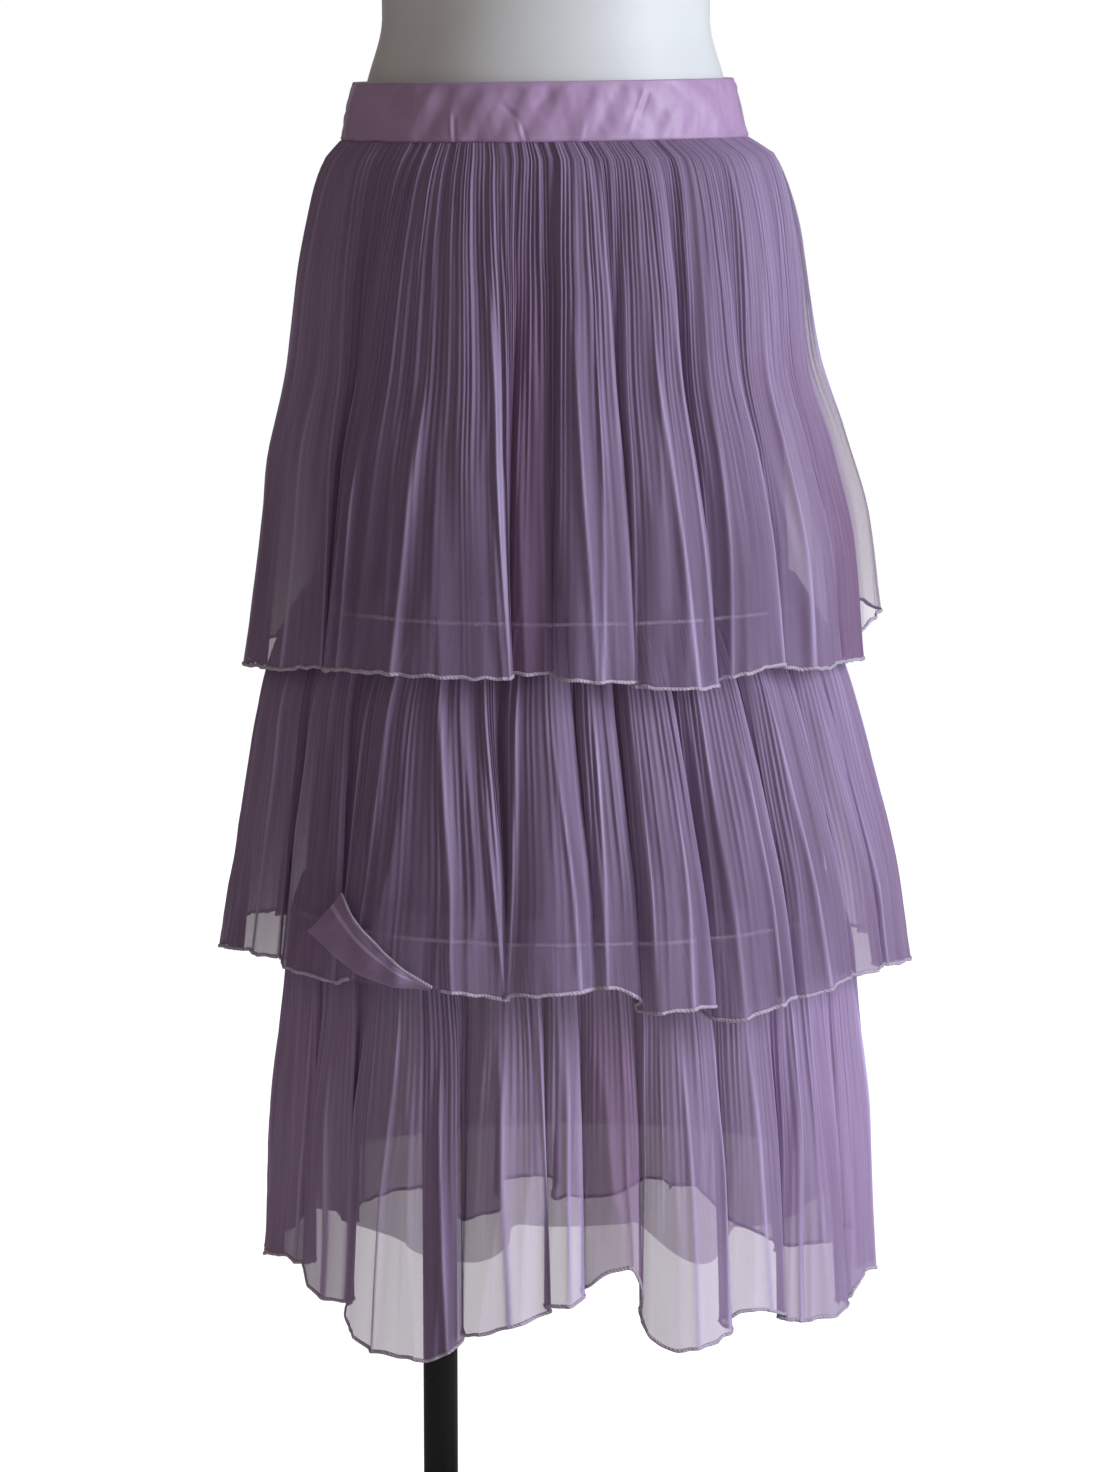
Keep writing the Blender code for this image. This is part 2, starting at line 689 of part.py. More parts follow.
def main():
    clear_scene()
    home = bpy.data.collections.new("tiered_skirt_on_dress_form")
    bpy.context.scene.collection.children.link(home)
    cutters = bpy.data.collections.new("cutters")
    bpy.context.scene.collection.children.link(cutters)

    mesh_cloth = material("pleated mesh", (0.30, 0.21, 0.37), 0.70)
    satin = material("satin", (0.36, 0.22, 0.40), 0.40)
    lining_cloth = material("lining", (0.16, 0.09, 0.21), 0.60)
    form_finish = material("form", (0.62, 0.64, 0.66), 0.55)
    metal = material("black stand", (0.012, 0.012, 0.013), 0.40, 0.6)

    first = tier_piece(TIER_1_SECTIONS, TIER_1_FOLDS, TIER_1_HEM, TIER_1_TOP, TIER_1_LENGTH, TIER_1_GROWTH)
    second = tier_piece(TIER_2_SECTIONS, TIER_2_FOLDS, TIER_2_HEM, TIER_2_TOP, TIER_2_LENGTH, TIER_2_GROWTH)
    third = tier_piece(TIER_3_SECTIONS, TIER_3_FOLDS, TIER_3_HEM, TIER_3_TOP, TIER_3_LENGTH, TIER_3_GROWTH)

    add_waistband(satin, home)
    add_halves("tier_1", first, TIER_COLUMNS, TIER_1_ROWS, TIER_WALL, mesh_cloth, home)
    add_halves("tier_2", second, TIER_COLUMNS, TIER_2_ROWS, TIER_WALL, mesh_cloth, home)
    add_turn_up(second, mesh_cloth, home)
    add_halves("tier_3", third, TIER_COLUMNS, TIER_3_ROWS, TIER_WALL, mesh_cloth, home)
    add_under_layers(mesh_cloth, lining_cloth, home)
    add_form(form_finish, home)
    add_stand(metal, home, cutters)


main()
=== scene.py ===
"""The looks of a three-tiered pleated mesh skirt on a limbless dress form with a pole stand.

Metres, +Z up, the floor at z = 0, the front towards -Y. Every layer of cloth follows its solid's form,
with the fine pleats, creases, rolled hems and stitches that are too small for the solids.
"""

import math
import random
from collections import namedtuple

import bmesh
import bpy
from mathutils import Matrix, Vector, noise


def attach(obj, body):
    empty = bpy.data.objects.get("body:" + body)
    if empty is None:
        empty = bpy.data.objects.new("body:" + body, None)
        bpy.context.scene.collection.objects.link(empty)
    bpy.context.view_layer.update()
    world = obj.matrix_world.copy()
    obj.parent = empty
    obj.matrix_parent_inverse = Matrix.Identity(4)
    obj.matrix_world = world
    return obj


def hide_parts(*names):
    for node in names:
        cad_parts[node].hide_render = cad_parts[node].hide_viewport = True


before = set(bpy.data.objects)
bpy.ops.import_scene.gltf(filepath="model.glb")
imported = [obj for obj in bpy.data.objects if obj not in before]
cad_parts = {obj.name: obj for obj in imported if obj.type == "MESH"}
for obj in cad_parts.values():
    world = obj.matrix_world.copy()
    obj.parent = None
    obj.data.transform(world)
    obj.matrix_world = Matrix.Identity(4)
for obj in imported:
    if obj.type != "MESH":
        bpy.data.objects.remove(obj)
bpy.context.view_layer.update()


def table(kind, *rows):
    """Rows of numbers as named tuples of a kind."""
    return tuple(kind(*row) for row in rows)


def table_mm(kind, *rows):
    """The same, where the last number of each row is written in millimetres."""
    return tuple(kind(*row[:-1], row[-1] / 1000.0) for row in rows)


# Heights above the floor, from the solids
WAIST_TOP = 1.120
BAND_HEIGHT = 0.039
BAND_BOTTOM = WAIST_TOP - BAND_HEIGHT
TIER_1_TOP = BAND_BOTTOM - 0.0003
TIER_2_TOP = 0.777
TIER_3_TOP = 0.560

# Lengths of cloth from each top edge down
TIER_1_LENGTH = 0.354
TIER_2_LENGTH = 0.256
TIER_3_LENGTH = 0.244
UNDERSKIRT_LENGTH = 0.733
LINING_LENGTH = 0.541
TIER_3_SEAM = (TIER_1_TOP - TIER_3_TOP) / UNDERSKIRT_LENGTH

# How the cloth hangs. A fold crowds its cloth into its flanks and overhangs the recess at its left, the
# wearer's left. How square its crest is, how far in the recesses lie, and how late a hem dips
CROWDING_RIGHT, CROWDING_LEFT = 0.80, 1.04
SQUARENESS_RIGHT, SQUARENESS_LEFT = 0.55, 0.38
OVERHANG_DEGREES = 1.7
OVERHANG_AT, OVERHANG_WIDTH = 0.70, 0.16
VALLEY_IN = 0.006
FRONT_SHIFT = 0.004
HEM_LATENESS = 2.0
WAIST_SLOPE = 0.012
LEVEL_HEIGHT = 0.90

# A fold this far out and this wide overhangs in full. One as low as LOW_FOLD_OUT gets the painted shade of a
# recess, which begins at this share of half a fold's width. EDGE_DEGREES is how wide the painted highlight on
# a fold's edge is
FULL_OVERHANG_OUT, FULL_OVERHANG_WIDTH = 0.014, 12.0
LOW_FOLD_OUT, HIGH_FOLD_OUT = 0.004, 0.010
RECESS_FROM = 0.55
EDGE_DEGREES = 1.1
CREASE_GROWS_OVER = 0.25

# t is the share of the way down a piece, and shift moves the section towards +X
Section = namedtuple("Section", "t half_width half_depth shift")

BAND_SECTIONS = table(
    Section,
    (0, 0.1318, 0.104, -0.002), (0.5, 0.137, 0.1074, -0.0015), (1, 0.1404, 0.1098, -0.001),
)
TIER_1_SECTIONS = table(
    Section,
    (0, 0.1392, 0.109, -0.001), (0.04, 0.155, 0.1215, 0.003), (0.12, 0.163, 0.132, 0.003),
    (0.27, 0.171, 0.141, 0.001), (0.43, 0.176, 0.148, 0), (0.6, 0.19, 0.1555, 0.0025),
    (0.78, 0.201, 0.163, 0.007), (1, 0.2085, 0.169, 0.005),
)
TIER_2_SECTIONS = table(
    Section,
    (0, 0.1675, 0.1325, 0.006), (0.1, 0.183, 0.144, 0.0045), (0.27, 0.2, 0.157, 0.005),
    (0.5, 0.2125, 0.17, 0.008), (0.8, 0.2275, 0.183, 0.0115), (1, 0.234, 0.19, 0.0115),
)
TIER_3_SECTIONS = table(
    Section,
    (0, 0.187, 0.151, 0.014), (0.15, 0.1975, 0.1585, 0.0155), (0.35, 0.201, 0.164, 0.017),
    (0.65, 0.2085, 0.171, 0.017), (1, 0.213, 0.178, 0.017),
)
UNDERSKIRT_SECTIONS = table(
    Section,
    (0, 0.138, 0.1078, -0.001), (0.11, 0.1562, 0.1206, 0), (0.18, 0.1622, 0.124, 0.001),
    (0.3, 0.1642, 0.1268, 0.003), (0.415, 0.166, 0.131, 0.006), (0.52, 0.169, 0.1365, 0.01),
    (0.711, 0.1855, 0.1495, 0.014), (0.86, 0.1858, 0.153, 0.0155), (1, 0.1875, 0.1565, 0.016),
)

# A fold spans width degrees about its centre, measured from the middle of the front towards +X,
# and its crest stands out proud at the hem. The tables of folds, hems and creases end in millimetres
Fold = namedtuple("Fold", "centre width out")

TIER_1_FOLDS = table_mm(
    Fold,
    (-69, 42, 10), (-28, 40, 20), (-4, 8, 3), (7, 14, 17), (22, 16, 20), (38, 16, 12), (57, 22, 12),
    (79, 22, 7), (101, 22, 27), (121, 18, 14), (142.5, 25, 18), (160, 10, 4), (176, 22, 20), (194, 14, 15),
    (215, 28, 19), (234, 10, 5), (254.5, 31, 11),
)
TIER_2_FOLDS = table_mm(
    Fold,
    (-73, 34, 9), (-49, 14, 8), (-26, 32, 19), (-3, 14, 16), (8, 8, 10), (18, 12, 18), (32, 16, 18),
    (48, 16, 12), (63, 14, 9), (80, 20, 12), (100, 20, 12), (118, 16, 13), (133, 14, 14), (144, 8, 4),
    (159, 22, 18), (176, 12, 16), (187, 10, 4), (202, 20, 18), (221, 18, 16), (236, 12, 8), (256, 28, 10),
)
TIER_3_FOLDS = table_mm(
    Fold,
    (-75, 30, 9), (-53.5, 13, 11), (-34, 26, 18), (-13, 16, 14), (-1.5, 7, 10), (7.5, 11, 4), (21, 16, 20),
    (36, 14, 12), (53, 20, 13), (76.5, 27, 10), (102, 24, 11), (123, 18, 13), (142, 20, 15), (155, 6, 3),
    (170, 24, 17), (188, 12, 13), (198, 8, 3), (216, 28, 18), (238, 16, 12), (258, 24, 10),
)

# A hem hangs drop below its piece's length at these angles. It ends as it starts, at the wearer's right
HemPoint = namedtuple("HemPoint", "degrees drop")

TIER_1_HEM = table_mm(
    HemPoint,
    (-90, 14), (-76, 9), (-64, 4), (-56, -1), (-48, 2), (-32, -4), (-16, -3), (-4, -5), (8, -1), (16, 3),
    (30, 6), (40, -4), (48, -2), (60, 3), (74, 4), (88, 9), (96, -16), (104, -24), (112, -8), (124, 4),
    (142, 2), (160, -2), (178, 4), (196, 8), (216, 2), (236, -2), (256, 6), (270, 14),
)
TIER_2_HEM = table_mm(
    HemPoint,
    (-90, 14), (-84, 10), (-76, 3), (-66, -4), (-58, -3), (-50, 1), (-40, 8), (-32, 0), (-24, -1), (-12, 7),
    (-4, 1), (8, -2), (13, 15), (20, 13), (28, 24), (36, 15), (41, 17), (51, 9), (66, 10), (80, 15), (90, 24),
    (102, 10), (118, 20), (134, 8), (150, 4), (162, 18), (180, 8), (200, 16), (214, 6), (232, 12), (250, 4),
    (270, 14),
)
TIER_3_HEM = table_mm(
    HemPoint,
    (-90, 34), (-80, 28), (-70, 15), (-58, 14), (-52, 32), (-42, 34), (-36, 58), (-30, 59), (-23, 42),
    (-17, 40), (-10, 27), (0, 14), (4, 6), (9, -8), (13, 26), (20, 48), (27, 41), (35, 29), (42, 42),
    (54, 46), (67, 47), (73, 32), (82, 38), (90, 46), (104, 34), (118, 50), (130, 68), (143, 62), (150, 31),
    (166, 31), (172, 48), (177, 48), (182, 31), (190, 31), (197, 56), (204, 58), (213, 34), (228, 44),
    (244, 24), (256, 36), (270, 34),
)
UNDERSKIRT_HEM = table_mm(
    HemPoint,
    (-90, 10), (-50, 18), (-24, 30), (-14, 10), (-6, 1), (17, 1), (28, 34), (34, 12), (48, 14), (90, 8),
    (180, 12), (270, 10),
)
LEVEL_HEM = table_mm(HemPoint, (-90, 0), (270, 0))
UNDERSKIRT_FOLDS = tuple(Fold(-90.0 + 360.0 / 14 * (i + 0.5), 360.0 / 14, 0.003) for i in range(14))
NO_FOLDS = ()

# A crease is a narrow ridge that runs down the cloth from start to end, as shares of its length, and
# moves lean degrees round on its way
Crease = namedtuple("Crease", "degrees lean start end width out")

TIER_1_CREASES = table_mm(
    Crease,
    (-74, 2, 0.15, 1, 0.9, 2.2), (-62, -1.5, 0.35, 1, 0.7, 2.6), (-45, -2, 0.3, 1, 0.8, 3),
    (-37, 1.5, 0.5, 1, 0.6, 3), (-27, -2.5, 0.42, 1, 0.6, 3.4), (-16, 1.5, 0.2, 1, 0.7, 3.6),
    (-12.5, 1, 0.1, 1, 0.6, 3), (0.5, -1, 0.12, 1, 0.5, 2.6), (5, 3, 0.25, 1, 0.5, 3),
    (9, -2, 0.4, 1, 0.5, 2.6), (17, -0.5, 0.12, 1, 0.6, 3.4), (22, 2.5, 0.3, 1, 0.6, 3.2),
    (27, -1, 0.22, 1, 0.5, 3), (36, -1.5, 0.35, 1, 0.6, 2.8), (44, 1.5, 0.18, 0.9, 0.7, 2.6),
    (56, -2, 0.25, 1, 0.8, 2.8), (68, 2, 0.1, 1, 0.8, 2.4), (84, -1, 0.3, 1, 0.9, 2.2),
    (98, 2, 0.2, 1, 0.9, 2.6), (112, -2, 0.35, 1, 0.8, 2.6), (128, 1.5, 0.15, 1, 0.7, 3),
    (139, -1.5, 0.3, 1, 0.6, 3.2), (148, 2, 0.42, 1, 0.6, 3), (163, -1, 0.12, 1, 0.6, 2.8),
    (173, 2, 0.28, 1, 0.6, 3.4), (184, -2, 0.38, 1, 0.6, 3), (197, 1, 0.18, 1, 0.7, 3.2),
    (210, -2.5, 0.32, 1, 0.7, 3), (222, 1.5, 0.22, 1, 0.7, 2.8), (240, -1.5, 0.15, 1, 0.8, 2.6),
    (256, 2, 0.3, 1, 0.9, 2.4),
)
TIER_2_CREASES = table_mm(
    Crease,
    (-79, 1, 0.2, 1, 0.9, 2.2), (-66, -1, 0.1, 1, 0.8, 2.4), (-52, 1, 0.15, 1, 0.7, 2.2),
    (-36, -1, 0.1, 0.85, 0.7, 2.8), (-30, -1.5, 0, 1, 0.5, 3.8), (-23, 2, 0.1, 1, 0.6, 3.6),
    (-17, 2.5, 0.35, 1, 0.5, 3), (-6, -1, 0.1, 1, 0.5, 3), (-1, 2, 0.3, 1, 0.5, 2.6),
    (8, -1, 0.2, 1, 0.5, 2.2), (15, 1, 0.15, 1, 0.5, 3), (20, -1.5, 0.4, 1, 0.5, 2.6),
    (29, 1.5, 0.1, 1, 0.6, 3.4), (35, -1, 0.3, 1, 0.5, 3), (46, 2, 0.15, 1, 0.6, 2.8),
    (58, -1.5, 0.25, 0.95, 0.7, 2.6), (72, 1.5, 0.1, 1, 0.8, 2.6), (84, 1.5, 0.3, 1, 0.8, 2.4),
    (98, 1.5, 0.2, 1, 0.8, 2.4), (115, -1.5, 0.15, 1, 0.7, 2.6), (130, 1, 0.25, 1, 0.6, 2.8),
    (136, 1.5, 0.4, 1, 0.6, 2.6), (153, -1, 0.1, 1, 0.6, 3.2), (163, 2, 0.2, 1, 0.6, 3.2),
    (177, -1.5, 0.3, 1, 0.5, 3), (196, 1, 0.1, 1, 0.6, 3.2), (207, -2, 0.3, 1, 0.6, 3),
    (222, 1.5, 0.15, 1, 0.7, 2.8), (239, -1, 0.2, 1, 0.7, 2.6), (254, 2, 0.1, 1, 0.8, 2.4),
)
TIER_3_CREASES = table_mm(
    Crease,
    (-80, 1, 0.3, 1, 0.9, 2), (-66, -1, 0.2, 1, 0.8, 2.2), (-53, 1, 0.35, 1, 0.7, 2.6),
    (-42, -1, 0.25, 1, 0.6, 3), (-34, -2, 0.15, 1, 0.5, 3.4), (-28, 1.5, 0.3, 1, 0.5, 3.2),
    (-22, 2, 0.2, 1, 0.6, 3), (-13, 2, 0.3, 1, 0.6, 2.8), (-8, 1, 0.1, 1, 0.5, 2.4),
    (-1, 0.5, 0.3, 1, 0.4, 2.8), (4, -0.5, 0.55, 1, 0.4, 2), (9, 0.5, 0.5, 1, 0.4, 2),
    (15, -1, 0.1, 1, 0.5, 3), (21, 1, 0.25, 1, 0.5, 3.2), (27, -1.5, 0.15, 1, 0.5, 2.8),
    (36, 1, 0.3, 1, 0.6, 2.8), (50, -1.5, 0.15, 1, 0.7, 2.6), (62, 1, 0.3, 1, 0.7, 2.6),
    (78, -1, 0.2, 1, 0.8, 2.4), (96, 1, 0.25, 1, 0.8, 2.4), (108, -1.5, 0.15, 1, 0.7, 2.4),
    (123, 1, 0.3, 1, 0.6, 2.8), (139, -1, 0.2, 1, 0.6, 3), (147, 1, 0.4, 1, 0.6, 2.6),
    (165, -1.5, 0.15, 1, 0.6, 3.2), (175, 1, 0.3, 1, 0.6, 3), (188, -1, 0.2, 1, 0.5, 2.8),
    (208, 1.5, 0.15, 1, 0.7, 3), (221, -1.5, 0.35, 1, 0.7, 3), (238, 1, 0.2, 1, 0.7, 2.6),
    (256, -1, 0.25, 1, 0.8, 2.4),
)

# Fine pleats: how deep they are in full and at the top edge, and where along a tier they begin to relax
PLEAT_DEPTH = 0.0019
PLEAT_TOP_DEPTH = 0.0013
PLEAT_FULL_AT = 0.14
COLUMNS_A_PLEAT = 4
TIER_ROWS = 40
ROW_CROWDING = 1.15
METRES_A_PLEAT = 0.0085
SWAY_DEGREES = 0.7
# How narrow the painted highlight along each pleat's crest is
CREST_SHARPNESS = 2.0
Pleating = namedtuple("Pleating", "count relax_start relax_end kept seed")

TIER_1_PLEATING = Pleating(216, 0.30, 0.82, 0.10, 11)
TIER_2_PLEATING = Pleating(224, 0.38, 0.98, 0.20, 12)
TIER_3_PLEATING = Pleating(224, 0.30, 0.85, 0.10, 13)

# A panel's edge is doubled in its side seam, and its cloth hangs free from a little further on. The back
# panels are airy beside the seam at the wearer's left, and the cloth at the sides is seen edge on
SEAM_DEGREES = 2.0
FREE_FROM_SEAM = 4.0
AIRY_STRETCH = (90.0, 96.0, 116.0, 134.0)
AIRY_THINNING = 1.7
SIDEWAYS_FROM, SIDEWAYS_TO = 0.55, 0.97

# Soft waves between the main folds, at the hem
WAVE_OUT = 0.0062
WAVE_DEGREES = 6.4
HEM_RAGGED = 0.0016

# Rolled hems and stitches
HEM_RADIUS = 0.0012
HEM_SIDES = 6
HEM_METRES_A_COLUMN = 0.0012
HEM_THICKNESS, HEM_HEIGHT = 0.75, 1.15
STITCH_BELOW_EDGE = 0.011
STITCH_RADIUS = 0.0013
STITCH_PROUD = 0.0014

# The corner of the second tier's hem that is turned up. p runs from its free end to where it rejoins the
# hem. The turned part lies between the fold and the cloth's edge
TurnUp = namedtuple("TurnUp", "p fold edge")
TURN_UP_SECTIONS = (
    TurnUp(0.00, (-0.1626, -0.1390, 0.5492), (-0.1382, -0.1560, 0.5786)),
    TurnUp(0.25, (-0.1446, -0.1600, 0.5380), (-0.1303, -0.1685, 0.5646)),
    TurnUp(0.50, (-0.1247, -0.1800, 0.5273), (-0.1122, -0.1840, 0.5473)),
    TurnUp(0.78, (-0.0999, -0.1935, 0.5225), (-0.0958, -0.1932, 0.5343)),
    TurnUp(1.00, (-0.0787, -0.1985, 0.5212), (-0.0760, -0.1985, 0.5238)),
)
TURN_UP_START = -33.0
TURN_UP_END = -22.3
TURN_UP_COLUMNS, TURN_UP_ROWS = 90, 24
TURN_UP_PUFF = 0.004
TURN_UP_WAVE = 0.0030

# The underskirt's and the lining's panels
PLAIN_COLUMNS, PLAIN_ROWS = 240, 60
PLAIN_METRES_A_COLUMN = 0.0028
PLAIN_FREE_FROM_SEAM = 6.0
PLAIN_WAVE = 0.003

# The dress form: front and back are how far its surface lies before and behind the axis
FormSection = namedtuple("FormSection", "z half_width front back")

FORM_SECTIONS = table(
    FormSection,
    (0.786, 0.128, 0.088, 0.09), (0.797, 0.142, 0.1, 0.102), (0.83, 0.152, 0.109, 0.112),
    (0.88, 0.1565, 0.114, 0.118), (0.93, 0.157, 0.1145, 0.1182), (0.975, 0.1535, 0.112, 0.1155),
    (1.02, 0.1465, 0.1085, 0.1105), (1.0645, 0.1378, 0.1056, 0.1056), (1.0805, 0.1337, 0.1037, 0.1037),
    (1.12, 0.1235, 0.098, 0.096), (1.163, 0.113, 0.091, 0.084), (1.215, 0.115, 0.096, 0.084),
    (1.275, 0.127, 0.108, 0.092), (1.33, 0.136, 0.126, 0.1), (1.368, 0.1405, 0.131, 0.104),
    (1.41, 0.145, 0.116, 0.107), (1.45, 0.156, 0.096, 0.102), (1.482, 0.15, 0.08, 0.088),
    (1.504, 0.118, 0.068, 0.072), (1.518, 0.08, 0.061, 0.061), (1.534, 0.06, 0.056, 0.056),
    (1.59, 0.0535, 0.053, 0.053),
)
FORM_COLUMNS = 160
FORM_ROWS = 150

# Dress form stand
POLE_X = -0.077
POLE_RADIUS = 0.0125
BASE_RADIUS = 0.165
BASE_HEIGHT = 0.012
COLLAR_RADIUS = 0.024
COLLAR_HEIGHT = 0.030
SOCKET_RADIUS = 0.030
SOCKET_HEIGHT = 0.026
SEAM_GAP = 0.0003


class Wire:
    """A shader node's output. Arithmetic on it adds Math nodes."""

    def __init__(self, tree, socket=None):
        self.tree = tree
        self.socket = socket

    def add(self, kind, settings, sockets, output=0):
        """Adds a node of any kind: its settings first, then its sockets' values or wires."""
        node = self.tree.nodes.new(kind)
        for name, value in settings.items():
            setattr(node, name, value)
        for name, value in sockets.items():
            if isinstance(value, Wire):
                self.tree.links.new(value.socket, node.inputs[name])
            else:
                node.inputs[name].default_value = value
        return Wire(self.tree, node.outputs[output]) if node.outputs else None

    def maths(self, operation, first, second=0.0, clamp=False):
        settings = {"operation": operation, "use_clamp": clamp}
        return self.add("ShaderNodeMath", settings, {0: first, 1: second})

    def __add__(self, other):
        return self.maths("ADD", self, other)

    __radd__ = __add__

    def __sub__(self, other):
        return self.maths("SUBTRACT", self, other)

    def __rsub__(self, other):
        return self.maths("SUBTRACT", other, self)

    def __mul__(self, other):
        return self.maths("MULTIPLY", self, other)

    def __pow__(self, other):
        return self.maths("POWER", self, other)

    def clamped(self):
        return self.maths("ADD", self, 0.0, True)

    def wave(self, pitch):
        """A sine of 0 to 1 along this value, one for each pitch."""
        return self.maths("SINE", self * (2 * math.pi / pitch)) * 0.5 + 0.5

    def between(self, dark, pale):
        """A colour from dark, where this is 0, to pale, where it is 1."""
        sockets = {"Factor": self, 6: (*dark, 1.0), 7: (*pale, 1.0)}
        return self.add("ShaderNodeMix", {"data_type": "RGBA"}, sockets, 2)


# Outputs of the texture coordinate node
UV_COORDINATES = 2
OBJECT_COORDINATES = 3


def new_finish(name):
    """An empty material, and a wire to build its nodes from."""
    finish = bpy.data.materials.new(name)
    finish.use_nodes = True
    finish.node_tree.nodes.clear()
    return finish, Wire(finish.node_tree)


def finish_with(wire, sockets):
    """Ends a material in a Principled shader."""
    shader = wire.add("ShaderNodeBsdfPrincipled", {}, sockets)
    wire.add("ShaderNodeOutputMaterial", {}, {"Surface": shader})


def cloth_place(wire):
    """(across, down) on the cloth in metres, from its UV map."""
    uv = wire.add("ShaderNodeTexCoord", {}, {}, UV_COORDINATES)
    across = wire.add("ShaderNodeSeparateXYZ", {}, {"Vector": uv}, 0)
    down = wire.add("ShaderNodeSeparateXYZ", {}, {"Vector": uv}, 1)
    return uv, across, down


def attribute(wire, name):
    return wire.add("ShaderNodeAttribute", {"attribute_name": name}, {}, 2)


def speckle(wire, place, scale, detail):
    return wire.add("ShaderNodeTexNoise", {}, {"Vector": place, "Scale": scale, "Detail": detail})


def streaks(wire, uv, stretch, detail):
    """Noise drawn out along the cloth's length."""
    stretched = wire.add("ShaderNodeMapping", {}, {"Vector": uv, "Scale": stretch})
    return speckle(wire, stretched, 1.0, detail)


def fine_relief(wire, strength, distance, height):
    """A bump for grain too fine for the mesh, at most distance metres deep."""
    sockets = {"Strength": strength, "Distance": distance, "Height": height}
    return wire.add("ShaderNodeBump", {}, sockets)


def mesh_finish(name, thin, thick, shade=1.0):
    """Sheer pleated mesh. It covers least at the hem, thin, and most near the top edge, thick. Its colour
    carries painted highlights along pleat crests, crisp lines and fold edges, and painted shade in the
    recesses between folds.
    """
    finish, wire = new_finish(name)
    uv, across, down = cloth_place(wire)
    hang = attribute(wire, "hang")
    crest = attribute(wire, "crest")
    line = attribute(wire, "line")
    dense = attribute(wire, "dense")
    deep = attribute(wire, "deep")
    cloudy = streaks(wire, uv, (60.0, 9.0, 1.0), 3.0)
    net = across.wave(0.0009) * down.wave(0.0009)
    # Streaks that make the painted highlights at crests and crisp lines uneven, and the cover there with them
    streaky_highlight_and_cover = streaks(wire, uv, (35.0, 3.0, 1.0), 2.0)
    # Painted highlight along pleat crests, crisp lines and fold edges, held back in the recesses; the same
    # value thickens the cover where the cloth doubles
    edge = (crest * (streaky_highlight_and_cover * 0.9) + line * (streaky_highlight_and_cover * 1.6 + 0.2)) * (1.0 - deep * 0.6)
    gathered = edge * 0.34 + dense * 0.30 + deep * 0.16
    cover = thick + (hang ** 1.6) * (thin - thick) + gathered + (cloudy - 0.5) * 0.14 + (net - 0.25) * 0.10
    # The colour's paleness: the cloth's own clouding and weave, lighter by the painted highlights and darker
    # by painted shade between folds
    pale = (edge * 0.54 + (cloudy - 0.5) * 0.5 + net * 0.12 + 0.22 - deep * 0.50).clamped()
    dark_lilac = (0.25 * shade, 0.148 * shade, 0.265 * shade)
    pale_lilac = (0.56 * shade, 0.46 * shade, 0.71 * shade)
    relief = fine_relief(wire, 0.25, 0.0004, net + cloudy)
    finish_with(wire, {
        "Base Color": pale.between(dark_lilac, pale_lilac),
        "Roughness": 0.62,
        "Alpha": cover.clamped(),
        "Sheen Weight": 0.35,
        "Sheen Roughness": 0.35,
        "Sheen Tint": (0.86, 0.82, 1.0, 1.0),
        "Specular IOR Level": 0.25,
        "Normal": relief,
    })
    return finish


def hem_finish(name, dark_thread, pale_thread):
    """The shiny twisted thread of a rolled hem or a row of stitches."""
    finish, wire = new_finish(name)
    uv, across, down = cloth_place(wire)
    twist = (across + down * 0.6).wave(0.0021)
    cloudy = streaks(wire, uv, (90.0, 1.0, 1.0), 2.0)
    pale = (twist * 0.45 + cloudy * 0.5).clamped()
    relief = fine_relief(wire, 0.6, 0.0005, twist)
    finish_with(wire, {
        "Base Color": pale.between(dark_thread, pale_thread),
        "Roughness": 0.38,
        "Alpha": 0.96,
        "Sheen Weight": 0.3,
        "Sheen Roughness": 0.3,
        "Normal": relief,
    })
    return finish


def satin_finish():
    """The waistband's satin: a fine weave with threads across, smooth and lustrous."""
    finish, wire = new_finish("satin")
    uv, across, down = cloth_place(wire)
    threads = down.wave(0.0005) * 0.6 + across.wave(0.0011) * 0.4
    cloudy = streaks(wire, uv, (14.0, 30.0, 1.0), 3.0)
    pale = (cloudy * 0.8 + threads * 0.25).clamped()
    relief = fine_relief(wire, 0.2, 0.0003, threads)
    finish_with(wire, {
        "Base Color": pale.between((0.40, 0.235, 0.42), (0.62, 0.43, 0.68)),
        "Roughness": (0.34 + cloudy * 0.14).clamped(),
        "Sheen Weight": 0.25,
        "Sheen Roughness": 0.3,
        "Sheen Tint": (0.95, 0.88, 1.0, 1.0),
        "Specular IOR Level": 0.55,
        "Normal": relief,
    })
    return finish


def lining_finish():
    """The short lining: a plain opaque weave."""
    finish, wire = new_finish("lining")
    uv, across, down = cloth_place(wire)
    threads = down.wave(0.0006) * across.wave(0.0006)
    cloudy = streaks(wire, uv, (20.0, 5.0, 1.0), 3.0)
    pale = (cloudy * 0.8 + threads * 0.3).clamped()
    relief = fine_relief(wire, 0.2, 0.0003, threads)
    finish_with(wire, {
        "Base Color": pale.between((0.14, 0.085, 0.18), (0.21, 0.135, 0.26)),
        "Roughness": 0.55,
        "Sheen Weight": 0.2,
        "Normal": relief,
    })
    return finish


def form_finish():
    """The dress form: smooth pale shell, faintly mottled."""
    finish, wire = new_finish("form")
    place = wire.add("ShaderNodeTexCoord", {}, {}, OBJECT_COORDINATES)
    mottle = speckle(wire, place, 14.0, 4.0)
    grain = speckle(wire, place, 900.0, 2.0)
    relief = fine_relief(wire, 0.12, 0.0004, grain + mottle)
    finish_with(wire, {
        "Base Color": mottle.between((0.78, 0.80, 0.80), (0.86, 0.875, 0.87)),
        "Roughness": (0.42 + grain * 0.12).clamped(),
        "Specular IOR Level": 0.4,
        "Normal": relief,
    })
    return finish


